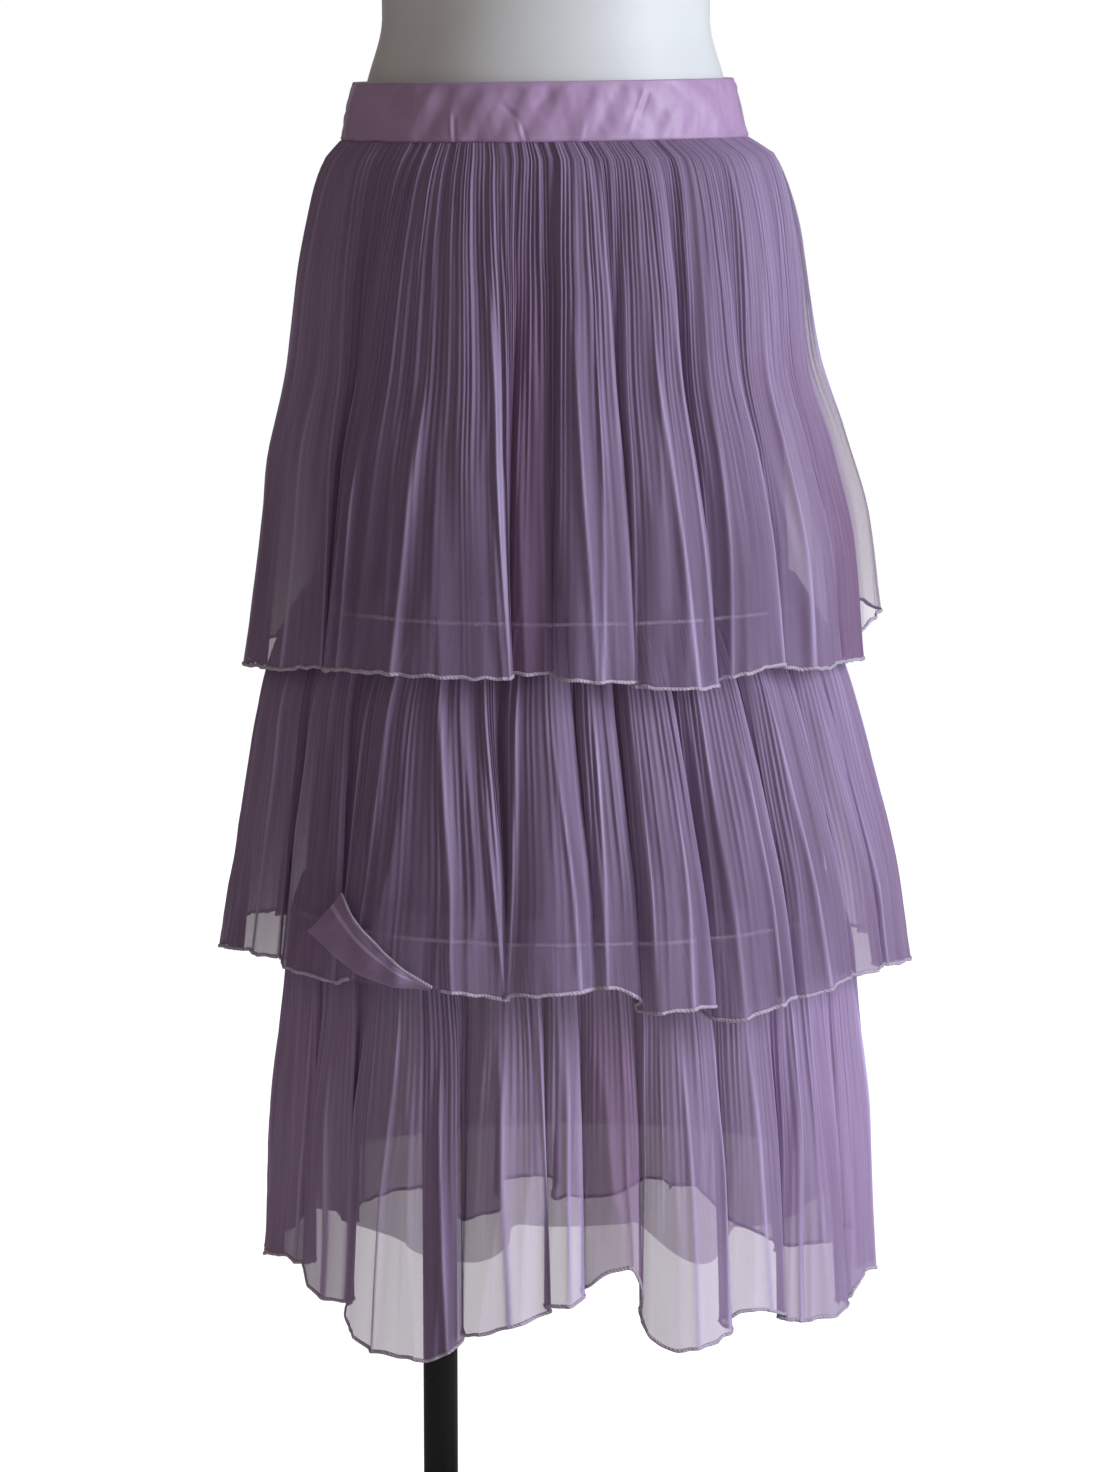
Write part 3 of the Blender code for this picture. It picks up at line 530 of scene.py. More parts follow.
def metal_finish():
    """The stand: black powder-coated steel."""
    finish, wire = new_finish("black stand")
    place = wire.add("ShaderNodeTexCoord", {}, {}, OBJECT_COORDINATES)
    grain = speckle(wire, place, 1400.0, 2.0)
    dust = speckle(wire, place, 22.0, 4.0)
    relief = fine_relief(wire, 0.2, 0.0002, grain)
    finish_with(wire, {
        "Base Color": dust.between((0.006, 0.006, 0.007), (0.014, 0.014, 0.015)),
        "Roughness": (0.38 + dust * 0.16).clamped(),
        "Metallic": 0.3,
        "Normal": relief,
    })
    return finish


def slopes_of(xs, ys):
    """Slopes that keep a curve through the points from overshooting."""
    steps = [(ys[i + 1] - ys[i]) / (xs[i + 1] - xs[i]) for i in range(len(xs) - 1)]
    slopes = [steps[0]]
    for before, after in zip(steps, steps[1:]):
        both_ways = before * after > 0
        slopes.append(2 * before * after / (before + after) if both_ways else 0.0)
    slopes.append(steps[-1])
    return slopes


def curve_value(xs, ys, x):
    """The height at x of a smooth curve through the points."""
    x = min(max(x, xs[0]), xs[-1])
    slopes = slopes_of(xs, ys)
    i = max(k for k in range(len(xs) - 1) if xs[k] <= x)
    span = xs[i + 1] - xs[i]
    s = (x - xs[i]) / span
    start = (1 + 2 * s) * (1 - s) ** 2 * ys[i] + s * (1 - s) ** 2 * span * slopes[i]
    end = s * s * (3 - 2 * s) * ys[i + 1] + s * s * (s - 1) * span * slopes[i + 1]
    return start + end


def column_of(rows, name):
    return [getattr(row, name) for row in rows]


def section_at(rows, t):
    """(half width, half depth, shift) of a piece at t."""
    ts = column_of(rows, "t")
    return tuple(curve_value(ts, column_of(rows, name), t) for name in ("half_width", "half_depth", "shift"))


def fold_at(folds, degrees):
    """How far a fold turns the cloth about the axis, in degrees, and how far out it stands, at an angle."""
    for fold in folds:
        x = (degrees - fold.centre) / (fold.width / 2)
        if abs(x) <= 1.0:
            crest = (0.5 + 0.5 * math.cos(math.pi * x)) ** (SQUARENESS_RIGHT if x < 0 else SQUARENESS_LEFT)
            crowding = CROWDING_RIGHT if x < 0 else CROWDING_LEFT
            turn = fold.width / 2 * crowding * math.sin(math.pi * x) / math.pi
            proud = min(1.0, fold.out / FULL_OVERHANG_OUT) * min(1.0, fold.width / FULL_OVERHANG_WIDTH)
            turn += OVERHANG_DEGREES * proud * math.exp(-(((x - OVERHANG_AT) / OVERHANG_WIDTH) ** 2))
            return turn, fold.out * crest - VALLEY_IN * (1.0 - crest)
    return 0.0, 0.0


def slope_waist(point):
    """Lifts the wearer's left side of the waist and lowers the right, less and less down to level."""
    share = min(max((point.z - LEVEL_HEIGHT) / (WAIST_TOP - LEVEL_HEIGHT), 0.0), 1.0)
    point.z += WAIST_SLOPE * point.x * share
    return point


def smooth_step(low, high, x):
    s = min(max((x - low) / (high - low), 0.0), 1.0)
    return s * s * (3 - 2 * s)


# growth is how late the folds open between fold_start and the hem, and inset moves the piece inwards
Piece = namedtuple("Piece", "sections folds hem top length growth fold_start inset creases")

TIER_1 = Piece(
    TIER_1_SECTIONS, TIER_1_FOLDS, TIER_1_HEM, TIER_1_TOP, TIER_1_LENGTH,
    growth=0.80, fold_start=0.0, inset=0.0, creases=TIER_1_CREASES,
)
TIER_2 = Piece(
    TIER_2_SECTIONS, TIER_2_FOLDS, TIER_2_HEM, TIER_2_TOP, TIER_2_LENGTH,
    growth=0.65, fold_start=0.0, inset=0.0, creases=TIER_2_CREASES,
)
TIER_3 = Piece(
    TIER_3_SECTIONS, TIER_3_FOLDS, TIER_3_HEM, TIER_3_TOP, TIER_3_LENGTH,
    growth=0.65, fold_start=0.0, inset=0.0, creases=TIER_3_CREASES,
)
UNDERSKIRT = Piece(
    UNDERSKIRT_SECTIONS, UNDERSKIRT_FOLDS, UNDERSKIRT_HEM, TIER_1_TOP, UNDERSKIRT_LENGTH,
    growth=1.0, fold_start=TIER_3_SEAM, inset=0.0005, creases=(),
)
LINING = UNDERSKIRT._replace(folds=NO_FOLDS, hem=LEVEL_HEM, inset=0.0024)


# Every layer has two panels, joined at the sides, and starts them at these angles
PANELS = (("front", -90.0), ("back", 90.0))


class Hang:
    """Where the points of a piece of cloth lie, with each column's and each row's share worked out once."""

    def __init__(self, piece):
        self.piece = piece
        self.hem_degrees = column_of(piece.hem, "degrees")
        self.hem_drops = column_of(piece.hem, "drop")
        self.columns = {}
        self.rows = {}

    def column(self, degrees):
        if degrees not in self.columns:
            turn, out = fold_at(self.piece.folds, degrees)
            drop = curve_value(self.hem_degrees, self.hem_drops, degrees)
            near = [c for c in self.piece.creases if abs(c.degrees - degrees) < abs(c.lean) + 3 * c.width]
            self.columns[degrees] = (turn, out, drop, near)
        return self.columns[degrees]

    def row(self, t):
        if t not in self.rows:
            piece = self.piece
            grown = max(0.0, (t - piece.fold_start) / (1.0 - piece.fold_start)) ** piece.growth
            self.rows[t] = (*section_at(piece.sections, t), grown)
        return self.rows[t]

    def crease(self, degrees, t):
        """How far out the creases move the cloth, and how near it is to one, from 0 to 1, which the finish
        paints as a pale highlight line.
        """
        out = line = 0.0
        for crease in self.column(degrees)[3]:
            if crease.start <= t <= crease.end:
                middle = crease.degrees + crease.lean * (t - crease.start)
                near = math.exp(-(((degrees - middle) / crease.width) ** 2))
                grown = smooth_step(crease.start, crease.start + CREASE_GROWS_OVER, t)
                out += crease.out * grown * near
                line = max(line, grown * near ** 6)
        return out, line

    def front_shift(self, t, shift):
        """How much less or more than its sides the middle of the first tier moves sideways."""
        if self.piece.sections is not TIER_1_SECTIONS:
            return 0.0
        return (FRONT_SHIFT - shift) * smooth_step(0.08, 0.3, t)

    def depth(self, degrees, t):
        """How deep between two folds the cloth lies, for painted shade, and how near a fold's edge, for a
        painted highlight, both from 0 to 1.
        """
        for fold in self.piece.folds:
            x = (degrees - fold.centre) / (fold.width / 2)
            if abs(x) <= 1.0:
                grown = self.row(t)[3]
                low = 1.0 - smooth_step(LOW_FOLD_OUT, HIGH_FOLD_OUT, fold.out)
                on_edge = math.exp(-(((x - OVERHANG_AT + 0.03) * fold.width / EDGE_DEGREES) ** 2))
                recessed = max(smooth_step(RECESS_FROM, 1.0, abs(x)), low)
                return recessed * grown, on_edge * (1.0 - low) * grown
        return 0.0, 0.0

    def point(self, degrees, t, out=0.0):
        turn, fold_out, drop, _ = self.column(degrees)
        half_width, half_depth, shift, grown = self.row(t)
        angle = math.radians(degrees + turn * grown)
        along_x, along_y = math.sin(angle), -math.cos(angle)
        normal = Vector((half_depth * along_x, half_width * along_y, 0.0)).normalized()
        place = Vector((half_width * along_x, half_depth * along_y, 0.0))
        place += normal * (fold_out * grown + out - self.piece.inset)
        place.x += shift + self.front_shift(t, shift) * along_y * along_y
        place.z = self.piece.top - t * self.piece.length - max(t, 0.0) ** HEM_LATENESS * drop
        return slope_waist(place)


# The cloth's attributes: share of the way down, nearness to a pleat's edge, to a crisp fold line, how much
# cloth is gathered there, and how deep it lies between two folds. The edge and line values carry painted
# highlights, and the depth painted shade
CLOTH_VALUES = ("hang", "crest", "line", "dense", "deep")


def cloth_sheet(columns, rows, place):
    """A sheet of quads whose points come from place(column, row), with its UV map in metres of cloth.

    place gives a point, the metres across and down, and the first few of the cloth's attributes.
    """
    sheet = bmesh.new()
    bmesh.ops.create_grid(sheet, x_segments=columns, y_segments=rows, size=0.5)
    layers = [sheet.verts.layers.float.new(name) for name in CLOTH_VALUES]
    flat = {}
    for vert in sheet.verts:
        column = round((vert.co.x + 0.5) * columns)
        row = round((0.5 - vert.co.y) * rows)
        vert.co, flat[vert], values = place(column, row)
        for layer, value in zip(layers, values):
            vert[layer] = value
    uv = sheet.loops.layers.uv.new("cloth")
    for face in sheet.faces:
        for loop in face.loops:
            loop[uv].uv = flat[loop.vert]
    return sheet


def close_up(shape, nearest):
    """Joins a sheet that is rolled into a tube where its edges meet, and caps its ends."""
    bmesh.ops.remove_doubles(shape, verts=shape.verts, dist=nearest)
    bmesh.ops.holes_fill(shape, edges=[edge for edge in shape.edges if edge.is_boundary], sides=0)
    bmesh.ops.recalc_face_normals(shape, faces=shape.faces)


def add_piece(name, shape, finish, nodes=()):
    """Makes a bmesh an object that rides on the part, in place of the named solids."""
    mesh = bpy.data.meshes.new(name)
    shape.to_mesh(mesh)
    shape.free()
    mesh.materials.append(finish)
    mesh.shade_smooth()
    obj = bpy.data.objects.new(name, mesh)
    bpy.context.scene.collection.objects.link(obj)
    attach(obj, "root")
    if nodes:
        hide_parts(*nodes)
    return obj


class Pleats:
    """One panel's fine pleats: their edges, how high each stands and how much of it is left at the hem."""

    def __init__(self, pleating, start):
        chance = random.Random(pleating.seed + start)
        self.pleating = pleating
        pitch = 180.0 / pleating.count
        self.edges = [start + pitch * (i + 0.5 * (chance.random() - 0.5)) for i in range(pleating.count + 1)]
        self.edges[0] = start
        self.edges[-1] = start + 180.0
        self.heights = [0.30 + 0.95 * chance.random() for i in range(pleating.count)]
        self.left = [pleating.kept * (0.2 + 2.6 * chance.random() ** 2) for i in range(pleating.count)]

    def at(self, column, t):
        """The cloth's angle, how far out of its middle a point lies, and how near it is to a crest, where the
        finish paints a highlight.
        """
        pleat = min(column // COLUMNS_A_PLEAT, self.pleating.count - 1)
        q = column / COLUMNS_A_PLEAT - pleat
        degrees = self.edges[pleat] + (self.edges[pleat + 1] - self.edges[pleat]) * q
        rise = 1.0 - abs(2 * q - 1.0)
        grouped = 0.8 + 1.1 * noise.noise(Vector((pleat * 0.23, t * 2.4, self.pleating.seed)))
        relaxed = smooth_step(self.pleating.relax_start, self.pleating.relax_end, t)
        height = grouped * self.heights[pleat] * (1.0 - relaxed * (1.0 - self.left[pleat]))
        full = PLEAT_TOP_DEPTH + (PLEAT_DEPTH - PLEAT_TOP_DEPTH) * smooth_step(0.0, PLEAT_FULL_AT, t)
        shallow = 1.0 - 0.7 * relaxed
        return degrees, full * (height * rise - 0.4 * shallow), height * rise ** CREST_SHARPNESS


def wave_at(degrees, t, seed):
    """Soft uneven waves between the main folds, which grow towards the hem."""
    place = Vector((degrees / WAVE_DEGREES, t * 0.8, seed * 7.3))
    coarse = noise.noise(place)
    fine = 1.0 - 2.6 * abs(noise.noise(place * 2.1))
    return WAVE_OUT * ((0.30 + 0.7 * t) * coarse + (0.26 + 0.14 * t) * fine)


def tier_places(hang, pleats, start, rows, seed):
    """The place function of a tier's front or back panel."""
    columns = pleats.pleating.count * COLUMNS_A_PLEAT
    airy_from, airy_full, airy_fading, airy_to = AIRY_STRETCH

    def place(column, row):
        s = row / rows
        t = s ** ROW_CROWDING
        plain, out, crest = pleats.at(column, t)
        sway = SWAY_DEGREES * t * noise.noise(Vector((plain / 5.0, t * 1.5, seed * 3.1)))
        edge = min(plain - start, start + 180.0 - plain)
        free = smooth_step(0.0, FREE_FROM_SEAM, edge)
        degrees = plain + sway * free
        crease_out, line = hang.crease(degrees, t)
        out += (wave_at(degrees, t, seed) + crease_out) * free
        point = hang.point(plain, t, out)
        ragged = HEM_RAGGED * t ** 3 * noise.noise(Vector((plain / 1.6, seed * 2.3, 0.0)))
        point.z += ragged
        airy = smooth_step(airy_from, airy_full, plain) * (1.0 - smooth_step(airy_fading, airy_to, plain))
        sideways = smooth_step(SIDEWAYS_FROM, SIDEWAYS_TO, abs(math.sin(math.radians(plain))))
        sideways *= 1.0 - AIRY_THINNING * airy
        seam = 1.0 - smooth_step(0.0, SEAM_DEGREES, edge)
        dense = sideways + (1.0 - sideways) * seam
        across = column / COLUMNS_A_PLEAT * METRES_A_PLEAT
        # The crease lines and fold edges become painted highlights, and the depth between folds painted
        # shade, in the mesh's finish
        deep, on_edge = hang.depth(plain, t)
        values = (t, crest, max(line, 0.8 * on_edge), dense, deep)
        return point, (across, t * hang.piece.length), values

    return columns, place


def add_tier(number, piece, pleating, finish):
    """Both panels of a tier with their rolled hems."""
    hang = Hang(piece)
    for side, start in PANELS:
        pleats = Pleats(pleating, start)
        columns, place = tier_places(hang, pleats, start, TIER_ROWS, number + start / 90.0)
        sheet = cloth_sheet(columns, TIER_ROWS, place)
        name = f"pleated_tier_{number}_{side}"
        panel = add_piece(name, sheet, finish, [f"tier_{number}_{side}"])

        def hem_edge(column):
            return place(column, TIER_ROWS)[0]

        for label, first, last in hem_stretches(number, side, start, columns):
            name = f"tier_{number}_{side}_hem{label}"
            add_cord_along(name, first, last, hem_edge, HEM_RADIUS, hem_thread)
        if number > 1:
            share = (STITCH_BELOW_EDGE / piece.length) ** (1 / ROW_CROWDING)
            path = stitch_path(hang, pleats, share)
            name = f"tier_{number}_{side}_stitches"
            add_cord_along(name, 0, columns // 2, path, STITCH_RADIUS, stitch_thread)


def hem_stretches(number, side, start, columns):
    """The stretches of a panel's hem that have a rolled edge. One is turned up on the second tier."""
    if (number, side) != (2, "front"):
        return [("", 0, columns)]
    turned_from = round((TURN_UP_START - start) / 180.0 * columns)
    turned_to = round((TURN_UP_END - start) / 180.0 * columns)
    return [("_right", 0, turned_from), ("_left", turned_to, columns)]


def stitch_path(hang, pleats, share):
    """The stitches that hold a tier's top edge to the underskirt, a little below that edge."""

    def path(column):
        degrees, out, _ = pleats.at(2 * column, share)
        return hang.point(degrees, share, STITCH_PROUD + 0.3 * out)

    return path


def add_cord_along(name, first, last, path, radius, finish):
    """A thin flattened cord, such as a rolled hem, along path(column) from the first column to the last."""
    points = [path(column) for column in range(first, last + 1)]
    columns = last - first

    def place(column, row):
        here = points[column]
        before = points[max(column - 1, 0)]
        after = points[min(column + 1, columns)]
        along = (after - before).normalized()
        outwards = along.cross(Vector((0.0, 0.0, 1.0))).normalized()
        upwards = outwards.cross(along)
        angle = 2 * math.pi * row / HEM_SIDES
        swell = 1.0 + 0.25 * noise.noise(Vector((column * 0.11, radius * 1000.0, 1.7)))
        offset = outwards * math.cos(angle) * HEM_THICKNESS + upwards * math.sin(angle) * HEM_HEIGHT
        metres = column * HEM_METRES_A_COLUMN
        return here + offset * radius * swell, (metres, row * radius), (1.0, 0.0, 0.0)

    cord = cloth_sheet(columns, HEM_SIDES, place)
    close_up(cord, radius / 50)
    return add_piece(name, cord, finish)


def turn_up_curve(end):
    """A smooth curve in space along the fold or the edge of the turned-up corner."""
    ps, places = column_of(TURN_UP_SECTIONS, "p"), column_of(TURN_UP_SECTIONS, end)
    return lambda p: Vector([curve_value(ps, [place[axis] for place in places], p) for axis in range(3)])


def add_turn_up(finish):
    """The corner of the second tier's hem turned up onto its front."""
    fold, edge = turn_up_curve("fold"), turn_up_curve("edge")
    columns, rows = TURN_UP_COLUMNS, TURN_UP_ROWS

    def place(column, row):
        p, q = column / columns, row / rows
        point = fold(p).lerp(edge(p), q)
        point.y -= TURN_UP_PUFF * math.sin(math.pi * q) ** 0.7 * (1 - 0.6 * p)
        point.y -= TURN_UP_WAVE * noise.noise(Vector((p * 6.0, q * 1.6, 4.0)))
        # Two rows near the edge carry the line value: a pale painted highlight, with denser cover, across the
        # turned-up corner
        return point, (p * 0.10, q * 0.04), (0.35, 0.0, 1.0 if row in (17, 18) else 0.0)

    sheet = cloth_sheet(columns, rows, place)
    flap = add_piece("turned_up_hem_corner", sheet, finish, ["tier_2_turned_hem"])

    def hem_edge(column):
        return place(column, rows)[0]

    edge_cord = add_cord_along("turned_up_hem_edge", 0, columns, hem_edge, HEM_RADIUS, hem_thread)


def add_plain_layer(name, piece, length, finish, solids):
    """A plain tube inside the tiers, in two panels."""
    hang = Hang(piece)
    for side, start in PANELS:

        def place(column, row):
            degrees = start + 180.0 * column / PLAIN_COLUMNS
            t = length / piece.length * row / PLAIN_ROWS
            edge = min(degrees - start, start + 180.0 - degrees)
            free = smooth_step(0.0, PLAIN_FREE_FROM_SEAM, edge)
            seated = smooth_step(TIER_3_SEAM, 1.0, t)
            out = PLAIN_WAVE * seated * free * noise.noise(Vector((degrees / 9.0, t * 2.0, 8.0)))
            dense = smooth_step(SIDEWAYS_FROM, SIDEWAYS_TO, abs(math.sin(math.radians(degrees))))
            flat_place = (column * PLAIN_METRES_A_COLUMN, t * piece.length)
            return hang.point(degrees, t, out), flat_place, (t, 0.0, 0.0, dense)

        sheet = cloth_sheet(PLAIN_COLUMNS, PLAIN_ROWS, place)
        panel = add_piece(f"{name}_{side}", sheet, finish, [f"{solids}_{side}"])


# A crease of the waistband runs between two places, each given as degrees round and share of the height down
BandCrease = namedtuple("BandCrease", "degrees share end_degrees end_share out width")

BAND_CREASES = table(
    BandCrease,
    (-27.2, 0.42, -26.2, 1, 0.0007, 0.0012), (-26, 0.5, -25.2, 0.98, -0.0007, 0.0012),
    (-13, 0.3, -7, 0.62, -0.0006, 0.002), (-7.6, 0.6, -5.8, 1, 0.0006, 0.0012),
    (-6.4, 0.66, -4.8, 0.98, -0.0006, 0.0013), (4, 0.16, -2, 0.4, -0.0005, 0.003),
    (11.5, 0.6, 10, 1, 0.0004, 0.0015), (15, 0.06, 11, 0.42, -0.0005, 0.0028),
    (31, 0.08, 27, 0.5, 0.0008, 0.0014), (27, 0.5, 23.8, 0.9, 0.0005, 0.002),
    (32.6, 0.14, 28.4, 0.56, -0.0008, 0.0013), (44, 0.1, 39, 0.46, -0.0005, 0.003),
    (51, 0.5, 47, 0.95, 0.0005, 0.0026), (-46, 0.12, -40, 0.56, -0.0005, 0.0032),
    (-60, 0.45, -57, 1, 0.0004, 0.0026), (65, 0.06, 62, 0.66, -0.0005, 0.003),
)
BAND_WALL = 0.003
BAND_METRES_A_DEGREE = 0.0024
BAND_METRES_A_ROW = 0.0013
BAND_RIM = 0.0005
BAND_DROP = 0.0026
BAND_LEVEL_FROM = -74.0


def band_ring(degrees, share):
    """A point of the waistband's outer face."""
    half_width, half_depth, shift = section_at(BAND_SECTIONS, share)
    angle = math.radians(degrees)
    normal = Vector((half_depth * math.sin(angle), -half_width * math.cos(angle), 0.0)).normalized()
    across, along = half_width * math.sin(angle) + shift, -half_depth * math.cos(angle)
    return Vector((across, along, WAIST_TOP - share * BAND_HEIGHT)), normal


def front_band_drop(degrees, share):
    """How much lower the front's top edge runs beside the seam at the wearer's right."""
    beside = 1.0 - smooth_step(-90.0, BAND_LEVEL_FROM, degrees)
    return BAND_DROP * beside * (1.0 - min(max(share, 0.0), 1.0))


def front_band_relief(degrees, share):
    """How far out the front of the waistband stands: its creases and soft dents."""
    out = 0.0
    metres = BAND_METRES_A_DEGREE
    for crease in BAND_CREASES:
        ax, ay = crease.degrees * metres, crease.share * BAND_HEIGHT
        bx, by = crease.end_degrees * metres, crease.end_share * BAND_HEIGHT
        px, py = degrees * metres, share * BAND_HEIGHT
        length = math.hypot(bx - ax, by - ay)
        s = ((px - ax) * (bx - ax) + (py - ay) * (by - ay)) / length ** 2
        s = min(max(s, 0.0), 1.0)
        away = math.hypot(px - ax - s * (bx - ax), py - ay - s * (by - ay))
        fading = smooth_step(0.0, 0.35, s) * (1.0 - 0.5 * smooth_step(0.7, 1.0, s))
        out += crease.out * math.exp(-((away / crease.width) ** 2)) * fading
    place = Vector((degrees / 9.0, share * 1.5, 2.0))
    pulled = Vector((degrees / 5.0 + share * 1.8, share * 1.2, 9.0))
    out += 0.0019 * noise.noise(place) + 0.0010 * noise.noise(pulled) + 0.0003 * noise.noise(place * 3.4)
    return out


def back_band_relief(degrees, share):
    """How far out the elastic back stands: gathers puffed out between three rows of stitching."""
    row = share * 4.0
    puff = math.sin(math.pi * (row % 1.0)) ** 0.7
    wander = 1.3 * noise.noise(Vector((degrees / 12.0, row // 1.0 * 3.7, 5.0)))
    gather = 0.5 + 0.5 * math.sin(math.radians(degrees * 40.0) + 2.5 * wander + (row // 1.0) * 1.3)
    tall = 0.6 + 0.5 * noise.noise(Vector((degrees / 3.0, row // 1.0, 6.0)))
    stepped = 0.0012 * smooth_step(262.0, 267.0, degrees)
    flatter = 1.0 - 0.65 * smooth_step(252.0, 264.0, degrees)
    return 0.0021 * puff * (0.35 + gather * tall) * flatter - 0.0006 + stepped


def add_band(side, start, columns, relief, finish):
    """Half of the waistband: a folded strip with a rounded top, and its raw edges turned in at the seam."""
    rows_down, rows_round = 30, 6
    profile = [(1.0 - i / rows_down, 0.0) for i in range(rows_down + 1)]
    radius = BAND_WALL / 2
    for i in range(1, rows_round):
        angle = math.pi * i / rows_round
        profile.append((-math.sin(angle) * radius * 0.5 / BAND_HEIGHT, radius - radius * math.cos(angle)))
    profile += [(i / rows_down, BAND_WALL) for i in range(rows_down + 1)]
    profile += [(1.02, BAND_WALL / 2), (1.0, 0.0)]

    def place(column, row):
        share, inwards = profile[row]
        degrees = start + 180.0 * column / columns
        point, normal = band_ring(degrees, min(max(share, 0.0), 1.0))
        edge = min(degrees - start, start + 180.0 - degrees)
        free = smooth_step(0.0, 3.0, edge) * smooth_step(-0.02, 0.12, share)
        outer = 1.0 - inwards / BAND_WALL
        rim = BAND_RIM * math.exp(-(((share - 0.965) / 0.03) ** 2))
        out = relief(degrees, share) * free * (0.4 + 0.6 * outer)
        out += rim * outer - 0.0004 * smooth_step(0.985, 1.0, share)
        point += normal * (out - inwards)
        point.z = WAIST_TOP - share * BAND_HEIGHT
        if side == "front":
            point.z -= front_band_drop(degrees, share)
        across = (degrees - start) * BAND_METRES_A_DEGREE
        return slope_waist(point), (across, row * BAND_METRES_A_ROW), (share, 0.0, 0.0)

    strip = cloth_sheet(columns, len(profile) - 1, place)
    close_up(strip, 1e-6)
    add_piece(f"satin_waistband_{side}", strip, finish, [f"waistband_{side}"])


def add_form(finish):
    """The limbless torso, closed at the neck and below the hips."""
    low, high = FORM_SECTIONS[0].z, FORM_SECTIONS[-1].z
    zs = column_of(FORM_SECTIONS, "z")
    names = ("half_width", "front", "back")
    rings = []
    for row in range(FORM_ROWS + 1):
        z = high - (high - low) * row / FORM_ROWS
        rings.append((z, *(curve_value(zs, column_of(FORM_SECTIONS, name), z) for name in names)))

    def place(column, row):
        z, half_width, front, back = rings[row]
        angle = 2 * math.pi * column / FORM_COLUMNS - math.pi / 2
        depth = front if math.cos(angle) > 0 else back
        point = Vector((half_width * math.sin(angle), -depth * math.cos(angle), z))
        return point, (angle * 0.13, z), (0.0, 0.0, 0.0)

    torso = cloth_sheet(FORM_COLUMNS, FORM_ROWS, place)
    bmesh.ops.remove_doubles(torso, verts=torso.verts, dist=1e-5)
    for rim in (high, low):
        edges = [e for e in torso.edges if e.is_boundary and abs(e.verts[0].co.z - rim) < 1e-4]
        bmesh.ops.holes_fill(torso, edges=edges, sides=0)
    bmesh.ops.recalc_face_normals(torso, faces=torso.faces)
    obj = add_piece("smooth_torso", torso, finish, ["dress_form"])
    obj.data.set_sharp_from_angle(angle=math.radians(50))


def turned(name, profile, x, finish, nodes, closed=False):
    """A round piece from a profile of (radius, height) points, spun about the upright axis at x."""
    shape = bmesh.new()
    verts = [shape.verts.new((radius, 0.0, z)) for radius, z in profile]
    edges = [shape.edges.new(pair) for pair in zip(verts, verts[1:])]
    if closed:
        edges.append(shape.edges.new((verts[-1], verts[0])))
    bmesh.ops.spin(
        shape, geom=verts + edges, cent=(0, 0, 0), axis=(0, 0, 1), angle=2 * math.pi, steps=72, use_merge=True
    )
    bmesh.ops.remove_doubles(shape, verts=shape.verts, dist=1e-6)
    bmesh.ops.recalc_face_normals(shape, faces=shape.faces)
    bmesh.ops.translate(shape, verts=shape.verts, vec=(x, 0, 0))
    obj = add_piece(name, shape, finish, nodes)
    obj.data.set_sharp_from_angle(angle=math.radians(35))


def eased(radius, low, high, ease):
    """The profile of a solid round piece with eased rims."""
    return [
        (0.0, low), (radius - ease, low), (radius - ease * 0.3, low + ease * 0.3), (radius, low + ease),
        (radius, high - ease), (radius - ease * 0.3, high - ease * 0.3), (radius - ease, high), (0.0, high),
    ]


def add_stand(finish):
    """The base, the pole off its centre, the collar at its foot and the socket under the form."""
    foot = BASE_HEIGHT + SEAM_GAP
    socket_high = FORM_SECTIONS[0].z - SEAM_GAP
    socket_low = socket_high - SOCKET_HEIGHT
    turned("round_base", eased(BASE_RADIUS, 0.0, BASE_HEIGHT, 0.003), 0.0, finish, ["stand_base"])
    pole = eased(POLE_RADIUS, foot, socket_low - SEAM_GAP, 0.0006)
    turned("round_pole", pole, POLE_X, finish, ["stand_pole"])
    socket = eased(SOCKET_RADIUS, socket_low, socket_high, 0.002)
    turned("round_socket", socket, POLE_X, finish, ["pole_socket"])
    bore = POLE_RADIUS + SEAM_GAP
    top = foot + COLLAR_HEIGHT
    collar = [
        (bore, foot), (COLLAR_RADIUS, foot), (COLLAR_RADIUS, top - 0.003),
        (COLLAR_RADIUS - 0.001, top - 0.001), (COLLAR_RADIUS - 0.003, top), (bore, top),
    ]
    turned("round_collar", collar, POLE_X, finish, ["pole_collar"], closed=True)


def add_light(name, place, target, size, power, colour):
    """A soft rectangular studio light."""
    lamp = bpy.data.lights.new(name, "AREA")
    lamp.shape = "RECTANGLE"
    lamp.size, lamp.size_y = size
    lamp.energy = power
    lamp.color = colour
    obj = bpy.data.objects.new(name, lamp)
    bpy.context.scene.collection.objects.link(obj)
    obj.location = place
    obj.rotation_euler = (Vector(target) - Vector(place)).to_track_quat("-Z", "Y").to_euler()


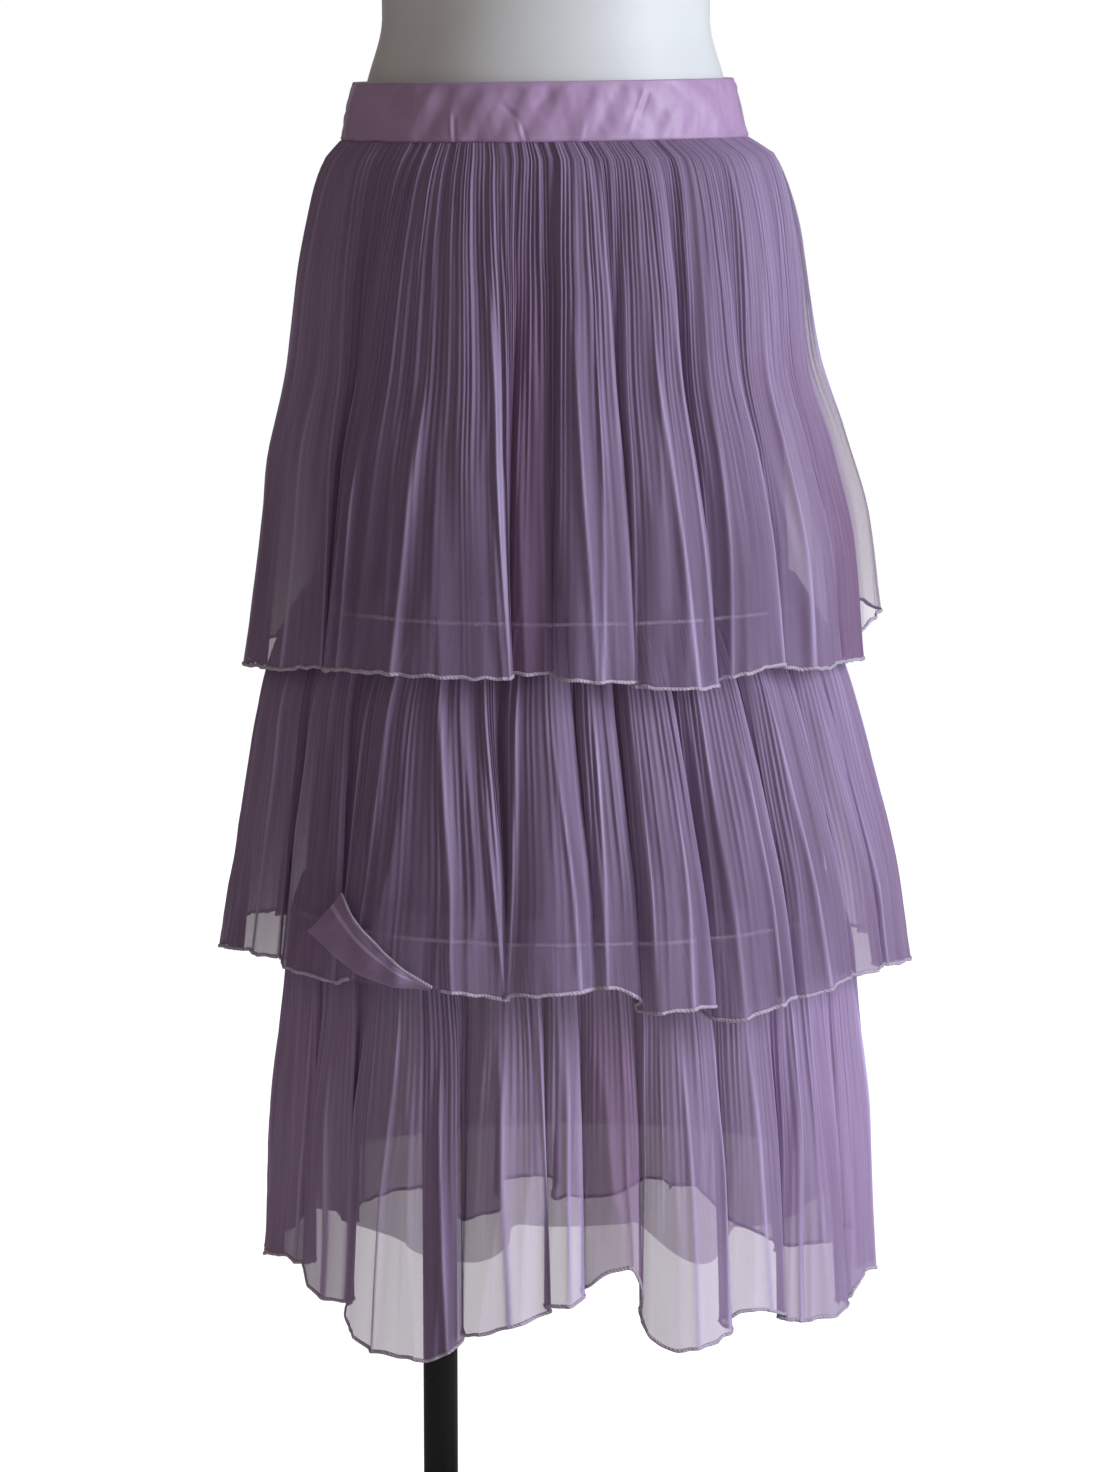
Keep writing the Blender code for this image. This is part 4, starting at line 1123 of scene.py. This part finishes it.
def add_stage():
    """The pale floor, a white world and the lights: a cool window at the right in a dim, warm room."""
    floor = bmesh.new()
    bmesh.ops.create_grid(floor, x_segments=1, y_segments=1, size=12.0)
    finish, wire = new_finish("pale floor")
    seen = wire.add("ShaderNodeLightPath", {}, {}, 0)
    matt = wire.add("ShaderNodeBsdfDiffuse", {}, {"Color": (0.80, 0.80, 0.80, 1.0)})
    glow = wire.add("ShaderNodeEmission", {}, {"Color": (1.0, 1.0, 1.0, 1.0), "Strength": seen * 0.93})
    lit = wire.add("ShaderNodeAddShader", {}, {0: matt, 1: glow})
    wire.add("ShaderNodeOutputMaterial", {}, {"Surface": lit})
    mesh = bpy.data.meshes.new("floor")
    floor.to_mesh(mesh)
    floor.free()
    mesh.materials.append(finish)
    obj = bpy.data.objects.new("floor", mesh)
    bpy.context.scene.collection.objects.link(obj)
    obj.location = (0.0, 0.0, -0.0005)

    world = bpy.data.worlds.new("white room")
    bpy.context.scene.world = world
    world.use_nodes = True
    world.node_tree.nodes.clear()
    wire = Wire(world.node_tree)
    seen = wire.add("ShaderNodeLightPath", {}, {}, 0)
    room = wire.add("ShaderNodeBackground", {}, {"Color": (1.0, 0.86, 0.80, 1.0), "Strength": 0.14})
    white = wire.add("ShaderNodeBackground", {}, {"Color": (1.0, 1.0, 1.0, 1.0), "Strength": 1.0})
    mixed = wire.add("ShaderNodeMixShader", {}, {0: seen, 1: room, 2: white})
    wire.add("ShaderNodeOutputWorld", {}, {"Surface": mixed})

    add_light("window", (2.4, -1.25, 1.55), (0.0, 0.0, 0.85), (1.0, 1.8), 64.0, (0.88, 0.94, 1.04))
    add_light("far wall", (-0.4, 3.4, 2.0), (0.0, 0.0, 0.9), (2.0, 2.0), 9.0, (0.96, 0.97, 1.0))
    add_light("room", (-1.2, -3.2, 2.2), (0.0, 0.0, 0.8), (2.0, 2.0), 7.5, (1.0, 0.87, 0.80))


# The camera's focal length and the photo's height, in pixels of the photo
FOCAL_PIXELS, PHOTO_PIXELS = 4143.0, 1472.0
CAMERA_PLACE = (0.0042, -2.9, 1.15)
CAMERA_TILT = 9.58


def add_camera():
    """The photo's view: a little above the waist, tilted down."""
    lens = bpy.data.cameras.new("camera")
    lens.sensor_fit = "VERTICAL"
    lens.sensor_width = lens.sensor_height = 36.0
    lens.lens = lens.sensor_height * FOCAL_PIXELS / PHOTO_PIXELS
    lens.clip_start, lens.clip_end = 0.05, 60.0
    camera = bpy.data.objects.new("camera", lens)
    bpy.context.scene.collection.objects.link(camera)
    camera.location = CAMERA_PLACE
    camera.rotation_euler = (math.radians(90.0 - CAMERA_TILT), 0.0, 0.0)
    bpy.context.scene.camera = camera


add_camera()

hem_thread = hem_finish("rolled hem", (0.40, 0.31, 0.44), (0.80, 0.70, 0.84))
stitch_thread = hem_finish("stitches", (0.70, 0.62, 0.76), (0.93, 0.88, 0.97))
tier_mesh = mesh_finish("pleated mesh", 0.52, 0.74)
# Painted light: the lowest tier is the same mesh as the others with lighter colours, for the brighter light
# that reaches it low down, near the pale floor
lowest_tier_mesh_painted_lighter = mesh_finish("pleated mesh of the lowest tier, painted lighter", 0.65, 0.68, 1.22)
plain_mesh = mesh_finish("plain mesh", 0.54, 0.54, 0.9)
double_mesh = mesh_finish("doubled mesh", 0.90, 0.90, 1.25)
satin = satin_finish()

add_tier(1, TIER_1, TIER_1_PLEATING, tier_mesh)
add_tier(2, TIER_2, TIER_2_PLEATING, tier_mesh)
add_tier(3, TIER_3, TIER_3_PLEATING, lowest_tier_mesh_painted_lighter)
add_turn_up(double_mesh)
add_plain_layer(
    "mesh_underskirt", UNDERSKIRT, UNDERSKIRT_LENGTH, plain_mesh, "underskirt"
)
lining = lining_finish()
add_plain_layer("short_lining", LINING, LINING_LENGTH, lining, "lining")
add_band("front", -90.0, 420, front_band_relief, satin)
add_band("back", 90.0, 500, back_band_relief, satin)
add_form(form_finish())
add_stand(metal_finish())
add_stage()

bpy.context.scene.cycles.transparent_max_bounces = 32
bpy.context.scene.view_settings.view_transform = "Standard"
